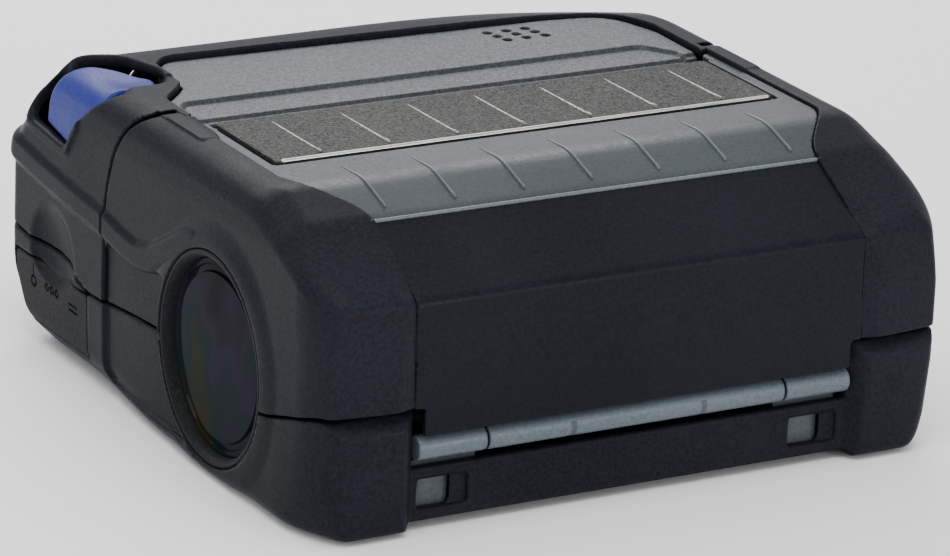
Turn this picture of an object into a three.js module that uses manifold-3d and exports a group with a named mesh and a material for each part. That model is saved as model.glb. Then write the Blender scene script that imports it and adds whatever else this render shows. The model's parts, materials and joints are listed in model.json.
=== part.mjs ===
// Portable wide-format label printer (label maker), hinge side towards -Y.
// Millimetres, +Z up. Origin: centre of the footprint, on the surface it stands on.
// X runs along the cover hinge, +Y points to the control-panel side.
import * as THREE from 'three';
import { mergeVertices } from 'three/addons/utils/BufferGeometryUtils.js';
import Module from 'manifold-3d';

const wasm = await Module();
wasm.setup();
const { Manifold, Mesh: SolidMesh } = wasm;

// ---- driving dimensions -------------------------------------------------
const GAP = 0.3;                // clearance between neighbouring pieces
const WALL = 2.2;               // moulded shell thickness
const HALF_WIDTH = 79.3;        // side faces, without the raised belt
const BELT_RISE = 1.2;          // raised belt and window rim on the sides
const FRONT = -80.8;            // hinge side
const REAR = 80.8;              // control-panel side
const TOP = 69.8;
const BASE = 0.8;               // underside, above the rubber feet
const CENTRE_X = 56.3;          // half width of the cover's centre panel
const RAIL_X = 68;              // inner edge of the black rails beside the top panels
const HINGE = { y: -76.6, z: 19.4, r: 2.7, pin: 1.0 };
const HINGE_SPLIT = 37.6;       // joint between end barrels and centre barrel
const HINGE_END = 53.7;
const WINDOW = { y: -29.5, z: 27.4, r: 22.6, rim: 26.2 };
const SEAM_TOP_Y = 8.4;         // cover / rear case joint on the top
const SEAM_SIDE_Y = 25.4;       // the same joint on the side
const ROLLER = { y: 2.6, z: 58.2, r: 6, half: 54 };
const LATCH = { y: 16, z: 22 };         // pivot shaft of the two cover hooks
const LATCH_X = 68.6;
const BAY = { y: -29, z: 37, r: 29 };   // label roll cradle
const GUIDE_X = 58.5;           // media guides at the widest label
const BATTERY = { y0: 42, y1: 70.4, z0: 6.5, z1: 28.5, cellTop: 26.4, x0: -18 };
const FLAP = { y0: 34, y1: 73, z0: 5.4, z1: 21.2 };
const SLANT = { y: 70.2, z: 58.4 };     // middle of the slanted control face
const RACK_TEETH = 10;          // pinion between the two media guide racks, module 1
const GEAR_MODULE = 0.8;
const TEETH = { platen: 20, idler: 25, motor: 10 };
const CURVE_STEPS = 5;          // facets per rounded corner

// ---- finishes -------------------------------------------------------------
const finish = (color, roughness, metalness = 0) =>
  new THREE.MeshStandardMaterial({ color, roughness, metalness });
const FINISH = {
  black: finish(0x26282b, 0.55),
  rubber: finish(0x1d1f21, 0.8),
  grey: finish(0x596066, 0.5),
  top: finish(0x62666b, 0.45, 0.2),
  pewter: finish(0x5c5b54, 0.4, 0.8),
  blue: finish(0x2438a0, 0.5),
  glass: finish(0x0c0d0f, 0.08),
  steel: finish(0xa8abad, 0.3, 1),
  board: finish(0x1d5c38, 0.6),
  white: finish(0xd8d8d4, 0.5),
  label: finish(0x3a3d42, 0.6),
  brass: finish(0xb08d4c, 0.35, 1),
  led: finish(0x9fd6a8, 0.2),
};

// ---- solids -----------------------------------------------------------------
function solid(geometry) {
  const bare = geometry.clone();
  bare.deleteAttribute('normal');
  bare.deleteAttribute('uv');
  const merged = mergeVertices(bare, 1e-4);
  return new Manifold(new SolidMesh({
    numProp: 3,
    vertProperties: Float32Array.from(merged.attributes.position.array),
    triVerts: Uint32Array.from(merged.index.array),
  }));
}

function geometryOf(shape) {
  const mesh = shape.getMesh();
  const geometry = new THREE.BufferGeometry();
  geometry.setAttribute('position', new THREE.BufferAttribute(mesh.vertProperties, 3));
  geometry.setIndex(new THREE.BufferAttribute(mesh.triVerts, 1));
  geometry.computeVertexNormals();
  return geometry;
}

const AXES = {
  x: new THREE.Matrix4().makeBasis(
    new THREE.Vector3(0, 1, 0), new THREE.Vector3(0, 0, 1), new THREE.Vector3(1, 0, 0)),
  y: new THREE.Matrix4().makeBasis(
    new THREE.Vector3(-1, 0, 0), new THREE.Vector3(0, 0, 1), new THREE.Vector3(0, 1, 0)),
  z: new THREE.Matrix4(),
};

// A closed outline, as [u, v] points, pushed along an axis from a to b.
// The outline's plane is (y, z) for x, (x, z) for y and (x, y) for z.
function prism(axis, outline, a, b) {
  const flip = axis === 'y' ? -1 : 1;
  const shape = new THREE.Shape(outline.map(([u, v]) => new THREE.Vector2(flip * u, v)));
  const geometry = new THREE.ExtrudeGeometry(shape, { depth: b - a, bevelEnabled: false });
  geometry.translate(0, 0, a);
  geometry.applyMatrix4(AXES[axis]);
  return solid(geometry);
}

// Polygon whose corners [u, v, radius] are rounded with arcs.
function rounded(corners, steps = CURVE_STEPS) {
  const count = corners.length;
  const outline = [];
  corners.forEach(([u, v, radius = 0], index) => {
    if (radius <= 0) {
      outline.push([u, v]);
      return;
    }
    const here = new THREE.Vector2(u, v);
    const before = new THREE.Vector2(...corners[(index + count - 1) % count]).sub(here).normalize();
    const after = new THREE.Vector2(...corners[(index + 1) % count]).sub(here).normalize();
    const half = Math.acos(THREE.MathUtils.clamp(before.dot(after), -1, 1)) / 2;
    const middle = before.clone().add(after).normalize();
    const centre = here.clone().addScaledVector(middle, radius / Math.sin(half));
    const start = here.clone().addScaledVector(before, radius / Math.tan(half)).sub(centre);
    const end = here.clone().addScaledVector(after, radius / Math.tan(half)).sub(centre);
    const turn = Math.atan2(start.x * end.y - start.y * end.x, start.dot(end));
    for (let step = 0; step <= steps; step += 1) {
      const arm = start.clone().rotateAround(new THREE.Vector2(), (turn * step) / steps);
      outline.push([centre.x + arm.x, centre.y + arm.y]);
    }
  });
  return outline;
}

// The same convex polygon with every edge moved inwards by d.
function inset(corners, d) {
  const count = corners.length;
  const lines = corners.map(([u, v], index) => {
    const [nu, nv] = corners[(index + 1) % count];
    const along = new THREE.Vector2(nu - u, nv - v).normalize();
    return { point: new THREE.Vector2(u - along.y * d, v + along.x * d), along };
  });
  return corners.map((corner, index) => {
    const a = lines[(index + count - 1) % count];
    const b = lines[index];
    const cross = a.along.x * b.along.y - a.along.y * b.along.x;
    const gap = b.point.clone().sub(a.point);
    const t = (gap.x * b.along.y - gap.y * b.along.x) / cross;
    const at = a.point.clone().addScaledVector(a.along, t);
    return [at.x, at.y, Math.max((corner[2] || 0) - d, 0)];
  });
}

const box = (x0, x1, y0, y1, z0, z1) => prism('z', [[x0, y0], [x1, y0], [x1, y1], [x0, y1]], z0, z1);

function circle(u, v, radius, sides = 24, phase = 0) {
  return Array.from({ length: sides }, (_, k) => {
    const angle = phase + (2 * Math.PI * k) / sides;
    return [u + radius * Math.cos(angle), v + radius * Math.sin(angle)];
  });
}

const rod = (axis, u, v, radius, a, b, sides = 24) => prism(axis, circle(u, v, radius, sides), a, b);
const join = (...shapes) => shapes.reduce((all, shape) => all.add(shape));
const cut = (body, ...shapes) => shapes.reduce((all, shape) => all.subtract(shape), body);
const meet = (...shapes) => shapes.reduce((all, shape) => all.intersect(shape));
const mirrored = (shape) => shape.mirror([1, 0, 0]);
const bothSides = (shape) => join(shape, mirrored(shape));

// Spur gear outline centred on (u, v), one tooth centred at the angle `phase`.
function gear(u, v, teeth, module, phase = 0, bore = 0) {
  const pitch = (module * teeth) / 2;
  const flank = [[-0.3, -1.05], [-0.13, 0.85], [0.13, 0.85], [0.3, -1.05]];
  const outline = [];
  for (let tooth = 0; tooth < teeth; tooth += 1) {
    for (const [share, height] of flank) {
      const angle = phase + (2 * Math.PI * (tooth + share)) / teeth;
      const radius = pitch + height * module;
      outline.push([u + radius * Math.cos(angle), v + radius * Math.sin(angle)]);
    }
  }
  return { outline, bore: bore ? circle(u, v, bore, 16) : null };
}

function gearSolid(axis, spec, a, b) {
  const blank = prism(axis, spec.outline, a, b);
  return spec.bore ? cut(blank, prism(axis, spec.bore, a - 1, b + 1)) : blank;
}

// ---- the printer's outer form ---------------------------------------------
const SIDE_VIEW = [
  [69, BASE, 9], [REAR, 14, 8], [REAR, 40, 0], [80.2, 49.2, 6], [62.4, 67, 4],
  [54.8, TOP, 6], [-34, TOP, 20],
  [-56.5, 65.8, 14], [-79.8, 53.4, 3.5], [FRONT, 28, 0], [-79.6, BASE, 2.5],
];
const PLAN_VIEW = [
  [-75.2, FRONT, 3], [75.2, FRONT, 3], [79, -71, 10], [HALF_WIDTH, -50, 30],
  [HALF_WIDTH, REAR, 8], [-HALF_WIDTH, REAR, 8], [-HALF_WIDTH, -50, 30], [-79, -71, 10],
];
const END_VIEW = [
  [-75, BASE, 4], [75, BASE, 4], [78.9, 6.5, 6], [HALF_WIDTH, 24, 0], [HALF_WIDTH, 46, 20],
  [78.4, 60, 10], [76, TOP, 6], [-76, TOP, 6], [-78.4, 60, 10], [-HALF_WIDTH, 46, 20],
  [-HALF_WIDTH, 24, 0], [-78.9, 6.5, 6],
];

function form(depth) {
  return meet(
    prism('x', rounded(inset(SIDE_VIEW, depth)), -90, 90),
    prism('z', rounded(inset(PLAN_VIEW, depth)), -10, 90),
    prism('y', rounded(inset(END_VIEW, depth)), -90, 90),
  );
}

// Raised belt that runs along each side and wraps the round window.
const BELT_LINE = [
  [78, 45.4], [58, 43.4], [42, 42.2], [26, 41.2], [16, 39.7], [8, 39.2], [1, 40.4], [-6, 43],
];

function belt() {
  const half = 2.9;
  const upper = BELT_LINE.map(([y, z]) => [y, z + half]);
  const lower = BELT_LINE.map(([y, z]) => [y, z - half]).reverse();
  const reach = HALF_WIDTH + BELT_RISE;
  const strip = prism('x', [...upper, ...lower], HALF_WIDTH - 3, reach);
  const ring = rod('x', WINDOW.y, WINDOW.z, WINDOW.rim, HALF_WIDTH - 8, reach, 32);
  const inside = prism('z', [[60, -60], [reach, -60], [reach, 72], [60, 80]], -1, 60);
  return meet(join(strip, ring), inside, prism('x', [[-56, 1.5], [90, 1.5], [90, 60], [-56, 60]], 60, 90));
}

const outer = join(form(0), bothSides(belt()));
const inner = form(WALL);
const shell = cut(outer, inner);

// Parting surfaces. Each region is a side-view outline pushed across the width.
const SEAM_LINE = [[90, 27.6], [64, 25.7], [42, 24.2], [34.5, 21.8], [25, 22.2], [12.6, 23.6],
  [-12, 25.6], [-48, 22.8], [-66, 25.2], [-90, 25.2]];

function coverEdge(shift) {
  const steps = 7;
  const edge = [];
  for (let step = 0; step <= steps; step += 1) {
    const angle = (Math.PI / 2) * (1 - step / steps);
    edge.push([SEAM_TOP_Y + (17 + shift) * Math.cos(angle), 42.5 + (27.6 + shift) * Math.sin(angle)]);
  }
  return [...edge, [SEAM_SIDE_Y + shift, 36]];
}

const belowSeam = prism('x', [...SEAM_LINE, [-90, -10], [90, -10]], -90, 90);
const aboveSeam = prism('x', [...SEAM_LINE.map(([y, z]) => [y, z + 0.5]), [-90, 100], [90, 100]], -90, 90);
const behindEdge = prism('x', [...coverEdge(0.25), [SEAM_SIDE_Y + 0.25, -10], [100, -10], [100, 100],
  [SEAM_TOP_Y + 0.25, 100]], -90, 90);
const aheadOfEdge = prism('x', [...coverEdge(-0.25), [SEAM_SIDE_Y - 0.25, -10], [-100, -10], [-100, 100],
  [SEAM_TOP_Y - 0.25, 100]], -90, 90);

const feet = [[-64, -62], [64, -62], [-62, 60], [62, 60]];
const screws = [[-48, -52], [48, -52], [-44, 62], [44, 62]];

// ---- lower case -------------------------------------------------------------
const windowHole = bothSides(rod('x', WINDOW.y, WINDOW.z, WINDOW.r, 66, 84, 32));
const middleFront = (z0, z1, y) => box(-CENTRE_X - 0.8, CENTRE_X + 0.8, -90, y, z0, z1);
const flapRecess = box(-90, -HALF_WIDTH + 1.9, FLAP.y0, FLAP.y1, FLAP.z0, FLAP.z1);
const portHole = box(-90, -70, FLAP.y0 + 3, FLAP.y1 - 3, FLAP.z0 + 2, FLAP.z1 - 2);
const batteryBay = box(60, 90, BATTERY.y0 - 0.6, BATTERY.y1 + 0.6, BATTERY.z0 - 0.6, BATTERY.z1 + 0.6);
const tabWindow = (x) => box(x - 6, x + 6, -90, -70, 5, 11.8);

function lowerCase() {
  const skin = meet(shell, belowSeam);
  const frontWall = box(-CENTRE_X - 0.8, CENTRE_X + 0.8, -76.4, -74.2, 2.4, 14.6);
  const closing = bothSides(box(CENTRE_X + 0.8, CENTRE_X + 2.6, -78.6, -60, 2, 24));
  const base = join(cut(skin, middleFront(-5, 40, -76.4), middleFront(14.6, 40, -70)), frontWall,
    meet(closing, outer, belowSeam));
  const pillar = box(-HALF_WIDTH + 2.7, -71, FLAP.y0 - 2.4, FLAP.y0 - 0.4, 3, 20);
  const footPockets = feet.map(([x, y]) => rod('z', x, y, 5.3, -1, 1.9, 20));
  const screwPockets = screws.map(([x, y]) => rod('z', x, y, 3.3, -1, 2.2, 16));
  return cut(join(base, pillar), windowHole, flapRecess, portHole, batteryBay, tabWindow(-47), tabWindow(47),
    box(-CENTRE_X, CENTRE_X, -90, -60, -1, 2.4), ...footPockets, ...screwPockets);
}

// ---- rear upper case ----------------------------------------------------------
const TOP_PANEL = [
  [-66, SEAM_TOP_Y + 0.8, 0], [66, SEAM_TOP_Y + 0.8, 0], [66.4, 30, 6], [62.5, 45.5, 8],
  [46, 48, 10], [-51, 50.9, 3], [-57, 46, 4], [-59.5, 30, 4], [-66, 22, 3],
];
const POCKET = [[-84, 32.5], [-61, 32.5], [-58.2, 40], [-61.6, 51], [-69.5, 58.6], [-84, 66]];
const pocketSide = [[32.5, 100], [32.5, 67.8], [40.5, 62], [44.3, 58], [47.2, 53], [66.5, 54.5], [66, 62],
  [58, 72], [56, 100]];
const buttonSpots = [-24, 24];

function leverPocket() {
  const fromTop = prism('z', rounded(POCKET.map(([x, y]) => [x, y, 2])), 62, 90);
  const fromSide = prism('x', pocketSide, -90, -71.5);
  return join(fromTop, fromSide);
}

function slanted(shape) {
  return shape.rotate([-45, 0, 0]).translate([0, SLANT.y, SLANT.z]);
}

function rearCase() {
  const skin = meet(shell, aboveSeam, behindEdge);
  const opening = prism('z', rounded(TOP_PANEL), 60, 90);
  const panelSlot = slanted(box(-54, 54, -9.4, 9.4, -8, 8));
  const latchSlot = join(box(HALF_WIDTH - 3.2, 90, 51.4, 64.6, 30.2, 39.4),
    box(HALF_WIDTH - 2.3, HALF_WIDTH - 0.8, 53.4, 62.6, 28, 31));
  return cut(skin, opening, leverPocket(), panelSlot, batteryBay, latchSlot,
    box(-66, 66, 0, SEAM_TOP_Y + 0.8, 60, 90));
}

function topPanel() {
  const plate = prism('z', rounded(inset(TOP_PANEL, GAP)), TOP - 3, TOP - 0.9);
  const apron = box(-62, 62, SEAM_TOP_Y + 1.2, SEAM_TOP_Y + 2.8, TOP - 5.2, TOP - 2);
  const step = prism('z', rounded([[-64, 0, 0], [64, 0, 0], [63, 14, 4], [57.5, 21.9, 4], [-64, 21.9, 4]]),
    TOP - 1.95, 80);
  const holes = [];
  for (let row = 0; row < 3; row += 1) {
    for (let column = 0; column < 3; column += 1) {
      holes.push(rod('z', 30.4 + 5.1 * column - 0.9 * row, 36.8 + 3.3 * row, 1.15, 60, 80, 10));
    }
  }
  return cut(join(plate, apron), step, ...holes);
}

function controlPanel() {
  const plate = box(-53.6, 53.6, -9, 9, -2.4, -0.7);
  const holes = buttonSpots.map((x) => rod('z', x, 0, 5.4, -8, 8, 20));
  const lights = [-6, 0, 6].map((x) => box(x - 1.5, x + 1.5, -1, 1, -8, 8));
  return slanted(cut(plate, ...holes, ...lights));
}

const button = (x) => slanted(join(rod('z', x, 0, 5, -2.6, 0.5, 20), rod('z', x, 0, 6.2, -4, -2.6, 20)));
const statusLight = (x) => slanted(box(x - 1.2, x + 1.2, -0.7, 0.7, -3.4, -0.5));

// ---- cover ----------------------------------------------------------------------
const GUIDE_EDGE = [[56.4, -58.1], [57.4, -54.4], [59.1, -50.9], [62.5, -46.4], [66.6, -41.4],
  [68, -37], [RAIL_X, 30]];

function guideOutline(shift) {
  const right = GUIDE_EDGE.map(([x, y]) => [x + shift, y]);
  return [...right, ...right.map(([x, y]) => [-x, y]).reverse()];
}

// A layer of the outer form's top between two depths.
const layer = (from, to) => cut(form(from), form(to));

function coverSide() {
  const region = meet(shell, aboveSeam, aheadOfEdge);
  const topOpening = prism('z', guideOutline(0.15), 55, 90);
  const centre = box(-CENTRE_X - 0.15, CENTRE_X + 0.15, -90, 90, 0, 90);
  const lip = box(50, 90, -90, -70, 20, 29.4);
  const railEnd = SEAM_TOP_Y - GAP;
  const railBump = prism('x', rounded([[-7.6, 67.8], [railEnd, 67.8], [railEnd, TOP + 1.2, 0.6],
    [-4, TOP + 1.2, 2], [-7.6, TOP, 0]], 3), 68.4, 71.6);
  const side = meet(region, box(CENTRE_X, 90, -90, 90, 0, 90));
  return join(cut(side, topOpening, centre, windowHole, lip), railBump);
}

function coverFrontPanel() {
  const slab = meet(layer(0.3, 2.6), box(-CENTRE_X + 0.15, CENTRE_X - 0.15, -90, -50, 22.9, 90));
  const corners = bothSides(box(CENTRE_X - 2.6, CENTRE_X + 1, -90, -70, 20, 29.4));
  return cut(slab, corners, prism('x', [[-58.3, 60], [-58.3, 90], [0, 90], [0, 60]], -80, 80));
}

function guideRib(x) {
  const path = [];
  const steps = 6;
  for (let step = 0; step <= steps; step += 1) {
    const y = -35 - (19.5 * step) / steps;
    const drop = Math.max(0, -y - 35) / 19.5;
    path.push([y, 69.5 - 3.9 * drop * drop]);
  }
  const rise = (index) => 0.9 * Math.sin((Math.PI * (index + 0.6)) / (steps + 1.2));
  const upper = path.map(([y, z], index) => [y, z + rise(index)]);
  const lower = path.map(([y, z]) => [y, z - 1.4]).reverse();
  return prism('x', [...upper, ...lower], x - 0.5, x + 0.5);
}

const ribPitch = 17.1;
const ribPlaces = [-3, -2, -1, 0, 1, 2, 3].map((k) => k * ribPitch);

function coverGuidePanel() {
  const slab = meet(layer(0.2, 2.5), prism('z', guideOutline(-0.15), 50, 90),
    box(-80, 80, -58.1, SEAM_TOP_Y - 0.4, 50, 90));
  const recess = box(-64.4, 64.4, -27.9, 20, TOP - 1.6, 90);
  const slot = box(-66, 66, 3.4, 20, 50, 90);
  const ribs = ribPlaces.map((x) => guideRib(x));
  return cut(join(slab, ...ribs), recess, slot);
}

function tearBar() {
  const plate = prism('z', rounded([[-63.6, -27.5, 2], [63.6, -27.5, 2], [63.6, 3, 2], [-63.6, 3, 2]]),
    TOP - 1.3, TOP - 0.1);
  const ribs = ribPlaces.map((x) => box(x - 0.4, x + 0.4, -24.6, -1.6, TOP - 0.5, TOP + 0.5));
  const lip = box(-62, 62, -27.5, -26.3, TOP - 0.5, TOP + 0.5);
  return join(plate, ...ribs, lip);
}

function coverFrame() {
  const barrel = rod('x', HINGE.y, HINGE.z, HINGE.r, -HINGE_SPLIT + 0.3, HINGE_SPLIT - 0.3, 16);
  const web = prism('x', [[-76.6, 19.6], [-76.6, 22.1], [-77.3, 24], [-77.3, 40], [-75.6, 40], [-74.5, 21.5]],
    -HINGE_SPLIT + 0.3, HINGE_SPLIT - 0.3);
  const back = prism('x', [[-77.3, 30], [-76.9, 50.4], [-52, 63.6], [-34, 66.6], [-3.6, 66.8], [-3.6, 64.8],
    [-33, 64.8], [-51, 61.8], [-75, 49.4], [-75.8, 30]], -55, 55);
  const cheek = prism('x', [[-14, 65], [-3.6, 66.8], [8.6, 66.8], [8.6, 58], [5, 53.5], [0, 53.5], [-8, 57]],
    55.3, 58.3);
  const tie = box(-58.3, 58.3, -14, -10, 63, 66);
  return cut(join(barrel, web, back, bothSides(cheek), tie),
    rod('x', HINGE.y, HINGE.z, HINGE.pin + 0.2, -60, 60, 12),
    rod('x', ROLLER.y, ROLLER.z, 3.6, -70, 70, 20));
}

// ---- inner chassis ------------------------------------------------------------
function arc(u, v, radius, from, to, steps) {
  return Array.from({ length: steps + 1 }, (_, k) => {
    const angle = THREE.MathUtils.degToRad(from + ((to - from) * k) / steps);
    return [u + radius * Math.cos(angle), v + radius * Math.sin(angle)];
  });
}

const rackY = { left: -35.2, right: -22.8 };

function chassis() {
  const inside = arc(BAY.y, BAY.z, BAY.r, 195, 345, 14);
  const outside = arc(BAY.y, BAY.z, BAY.r + 1.8, 345, 195, 14);
  const cradle = prism('x', [...inside, ...outside], -61, 61);
  const sideOutline = [[-62, 25.5], [-52, 9], [-40, 5.2], [17, 5.2], [20, 9], [20, 24], [16.4, 30],
    [16.4, 50], [7.6, 50], [7.6, 46], [-4, 36], [-54, 36], [-60, 30]];
  const cheek = prism('x', sideOutline, 61, 63);
  const barrel = rod('x', HINGE.y, HINGE.z, HINGE.r, HINGE_SPLIT + 0.3, HINGE_END, 16);
  const arm = prism('x', [[-76.6, 17.2], [-73.8, 15.2], [-73.8, 4.5], [-60, 4.5], [-58, 12], [-56, 24],
    [-60, 27], [-64, 20], [-72, 20.5]], HINGE_SPLIT + 0.3, HINGE_END);
  const shelf = box(-61, 61, 7.6, 9.6, 36, 47);
  const slotLeft = box(-60, -20, rackY.left - 2.6, rackY.left + 2.6, 3, 14);
  const slotRight = box(20, 60, rackY.right - 2.6, rackY.right + 2.6, 3, 14);
  const bridge = box(-61, 61, -2, 9.6, 34, 37);
  return cut(join(cradle, bothSides(cheek), bothSides(barrel), bothSides(arm), shelf, bridge),
    slotLeft, slotRight, rod('x', HINGE.y, HINGE.z, HINGE.pin + 0.2, -60, 60, 12),
    rod('x', IDLER.y, IDLER.z, 1.7, 60, 70, 12), rod('x', LATCH.y, LATCH.z, 2.4, -70, 70, 16));
}

function mediaGuide(side) {
  const y = side < 0 ? rackY.left : rackY.right;
  const x = side * GUIDE_X;
  const disc = meet(rod('x', BAY.y, BAY.z - 6, 21, x - 0.9, x + 0.9, 28), box(-90, 90, -52, -6, 9.4, 90));
  const hub = rod('x', BAY.y, BAY.z - 6, 9, side < 0 ? x : x - 5, side < 0 ? x + 5 : x, 20);
  const foot = box(x - 0.9, x + 0.9, y - 2, y + 2, 4.9, 14);
  const reach = 6;
  const toothSide = side < 0 ? 1 : -1;
  const back = [y, y - toothSide];
  const along = [x, -side * reach];
  const bar = box(Math.min(...along), Math.max(...along), Math.min(...back), Math.max(...back), 4.4, 5.9);
  const pitchLine = -29 - (toothSide * RACK_TEETH) / 2;
  const teeth = [];
  for (let k = -1; k <= 17; k += 1) {
    const at = side * k * Math.PI;
    const outline = [[0.95, y - toothSide * 0.1], [0.42, pitchLine + toothSide * 0.65],
      [-0.42, pitchLine + toothSide * 0.65], [-0.95, y - toothSide * 0.1]];
    teeth.push(prism('z', outline.map(([dx, dy]) => [at + dx, dy]), 4.4, 5.9));
  }
  return join(disc, hub, foot, bar, ...teeth);
}

// ---- print mechanism -------------------------------------------------------------
const meshAngle = Math.atan2(-15.6, 9);
const PLATEN_TO_IDLER = (GEAR_MODULE * (TEETH.platen + TEETH.idler)) / 2;
const IDLER = {
  y: ROLLER.y + PLATEN_TO_IDLER * Math.cos(meshAngle),
  z: ROLLER.z + PLATEN_TO_IDLER * Math.sin(meshAngle),
};
const IDLER_TO_MOTOR = (GEAR_MODULE * (TEETH.idler + TEETH.motor)) / 2;
const MOTOR = { y: IDLER.y + IDLER_TO_MOTOR, z: IDLER.z, r: 11.5 };
const GEAR_X = [64, 67];

function trainGears() {
  const toothGap = (teeth) => Math.PI / teeth;
  const platen = gear(ROLLER.y, ROLLER.z, TEETH.platen, GEAR_MODULE, meshAngle, 2.6);
  const idlerPhase = meshAngle + Math.PI + toothGap(TEETH.idler);
  const idler = gear(IDLER.y, IDLER.z, TEETH.idler, GEAR_MODULE, idlerPhase, 1.7);
  // tooth position of the idler nearest the motor pinion decides the pinion's phase
  const step = (2 * Math.PI) / TEETH.idler;
  const offset = ((0 - idlerPhase) % step + step) % step;
  const pinionPhase = Math.PI + (offset / step) * ((2 * Math.PI) / TEETH.motor) + toothGap(TEETH.motor);
  const motor = gear(MOTOR.y, MOTOR.z, TEETH.motor, GEAR_MODULE, pinionPhase, 1.2);
  return { platen, idler, motor };
}

const train = trainGears();

function printHead() {
  const y = ROLLER.y + ROLLER.r + GAP;
  return join(box(-56, 56, y, y + 1.2, 49.5, 63.6), box(-56, 56, y + 1.2, y + 2.4, 53, 63.6));
}

function headSink() {
  const y = ROLLER.y + ROLLER.r + GAP + 2.7;
  const fins = [-50, -40, -22, -8, 6, 22, 32].map((x) => box(x - 0.8, x + 0.8, y + 1.9, y + 6, 49, 63));
  return join(box(-57, 36, y, y + 2, 47.4, 63.6), ...fins, box(36, 57, y, y + 1.4, 57, 63.6));
}

const springX = [-45, 14];
const bracketY = 23;

function motorBody() {
  const can = rod('x', MOTOR.y, MOTOR.z, MOTOR.r, 42, 60.4, 28);
  const flange = box(58.8, 60.4, MOTOR.y - 8, MOTOR.y + 16, MOTOR.z - 4, MOTOR.z + 4);
  const shaft = rod('x', MOTOR.y, MOTOR.z, 1, 60, 67.2, 12);
  return join(can, flange, shaft);
}

// ---- latch -----------------------------------------------------------------------
const DRIVE = { y: 12.6, z: 58.8 };     // pin that joins the lever to the left hook

function latchHook(x) {
  const outline = [
    [LATCH.y - 4, LATCH.z - 2], [LATCH.y + 1, LATCH.z - 4.4], [LATCH.y + 5, LATCH.z], [LATCH.y + 3, 40],
    [16, 56], [15.4, 61], [11.5, 64.6], [1.2, 64.4], [0.6, 61.4], [3.6, 60.9], [5.6, 59.8],
    [5.9, 54], [11, 44], [LATCH.y - 4.5, LATCH.z + 4],
  ];
  const slot = box(x - 3, x + 3, DRIVE.y - 1.3, DRIVE.y + 1.3, DRIVE.z - 1.5, DRIVE.z + 1.5);
  return cut(prism('x', outline, x - 1.1, x + 1.1), slot, rod('x', LATCH.y, LATCH.z, 2.35, x - 3, x + 3, 16));
}

const LEVER_SIDE = [[34, 64.5], [34, 67.2], [36, 69.4], [51.6, 69.4], [56.6, 65.4], [60, 59.6], [60.2, 57],
  [48.8, 55], [45.6, 58.6], [41.6, 62.6]];
const LEVER_PLAN = [[-80, 33], [-62.2, 34.6], [-60.8, 40], [-64.8, 48], [-71, 53.4], [-80, 61]];

function releaseLever() {
  const cap = meet(prism('x', LEVER_SIDE, -HALF_WIDTH, -62), prism('z', LEVER_PLAN, 50, 80), form(0.5));
  const link = box(-72.4, -70.6, DRIVE.y - 1.8, 40, DRIVE.z - 1.8, DRIVE.z + 1.8);
  const riser = box(-72.4, -70.6, 36, 40, DRIVE.z - 1.8, 66);
  return join(cap, link, riser, rod('x', DRIVE.y, DRIVE.z, 1, -71, -67.3, 12));
}

// ---- ports, power and trim -------------------------------------------------------
function connectorFlap() {
  const body = meet(box(-90, -HALF_WIDTH + 1.6, FLAP.y0 + GAP, FLAP.y1 - GAP, FLAP.z0 + GAP, FLAP.z1 - GAP),
    form(0.1));
  const icons = [
    box(-90, -HALF_WIDTH + 0.5, 64, 65, 11, 16), box(-90, -HALF_WIDTH + 0.5, 66.4, 67.4, 13, 16),
    box(-90, -HALF_WIDTH + 0.5, 52, 57, 12, 13), box(-90, -HALF_WIDTH + 0.5, 52, 57, 14.6, 15.6),
    box(-90, -HALF_WIDTH + 0.5, 41, 45, 11, 12), box(-90, -HALF_WIDTH + 0.5, 41, 45, 13.4, 14.4),
  ];
  return cut(body, ...icons);
}

function port(y0, y1, z0, z1, x1) {
  const block = box(-71.8, x1, y0, y1, z0, z1);
  return cut(block, box(-90, x1 - 2, y0 + 1, y1 - 1, z0 + 1, z1 - 1));
}

function batteryPack() {
  const cell = box(BATTERY.x0, 73.5, BATTERY.y0, BATTERY.y1, BATTERY.z0, BATTERY.cellTop);
  const catchSlot = box(HALF_WIDTH - 2.3, HALF_WIDTH - 0.9, 53.6, 62.4, 26.6, 40);
  const lid = meet(form(0.1),
    box(73.4, 90, BATTERY.y0 - GAP, BATTERY.y1 + GAP, BATTERY.z0 - GAP, BATTERY.z1 + GAP));
  const grip = box(HALF_WIDTH - 0.8, 90, 50, 66, 10, 14);
  return cut(join(cell, lid), grip, catchSlot);
}

function batteryLatch() {
  const x = HALF_WIDTH - 1.9;
  const ribs = [32, 34].map((z) => box(x + 2, x + 2.9, 53, 63, z, z + 1));
  return join(box(x, x + 0.6, 54, 62, 27, 31), box(x, x + 2.1, 52, 64, 30.6, 36), ...ribs);
}

function coilSolid(x, y0, y1, z) {
  return rod('y', x, z, 2.2, y0, y1, 12);
}

function windowLens() {
  const x = HALF_WIDTH - 5.2;
  return meet(form(WALL + GAP), join(rod('x', WINDOW.y, WINDOW.z, WINDOW.r - 0.4, x + 1.2, x + 2.8, 32),
    rod('x', WINDOW.y, WINDOW.z, WINDOW.r + 1.6, x, x + 1.3, 32)));
}

// ---- assembly ----------------------------------------------------------------------
const printer = new THREE.Group();

function add(name, shape, material) {
  const mesh = new THREE.Mesh(geometryOf(shape), material);
  mesh.name = name;
  printer.add(mesh);
}

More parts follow.
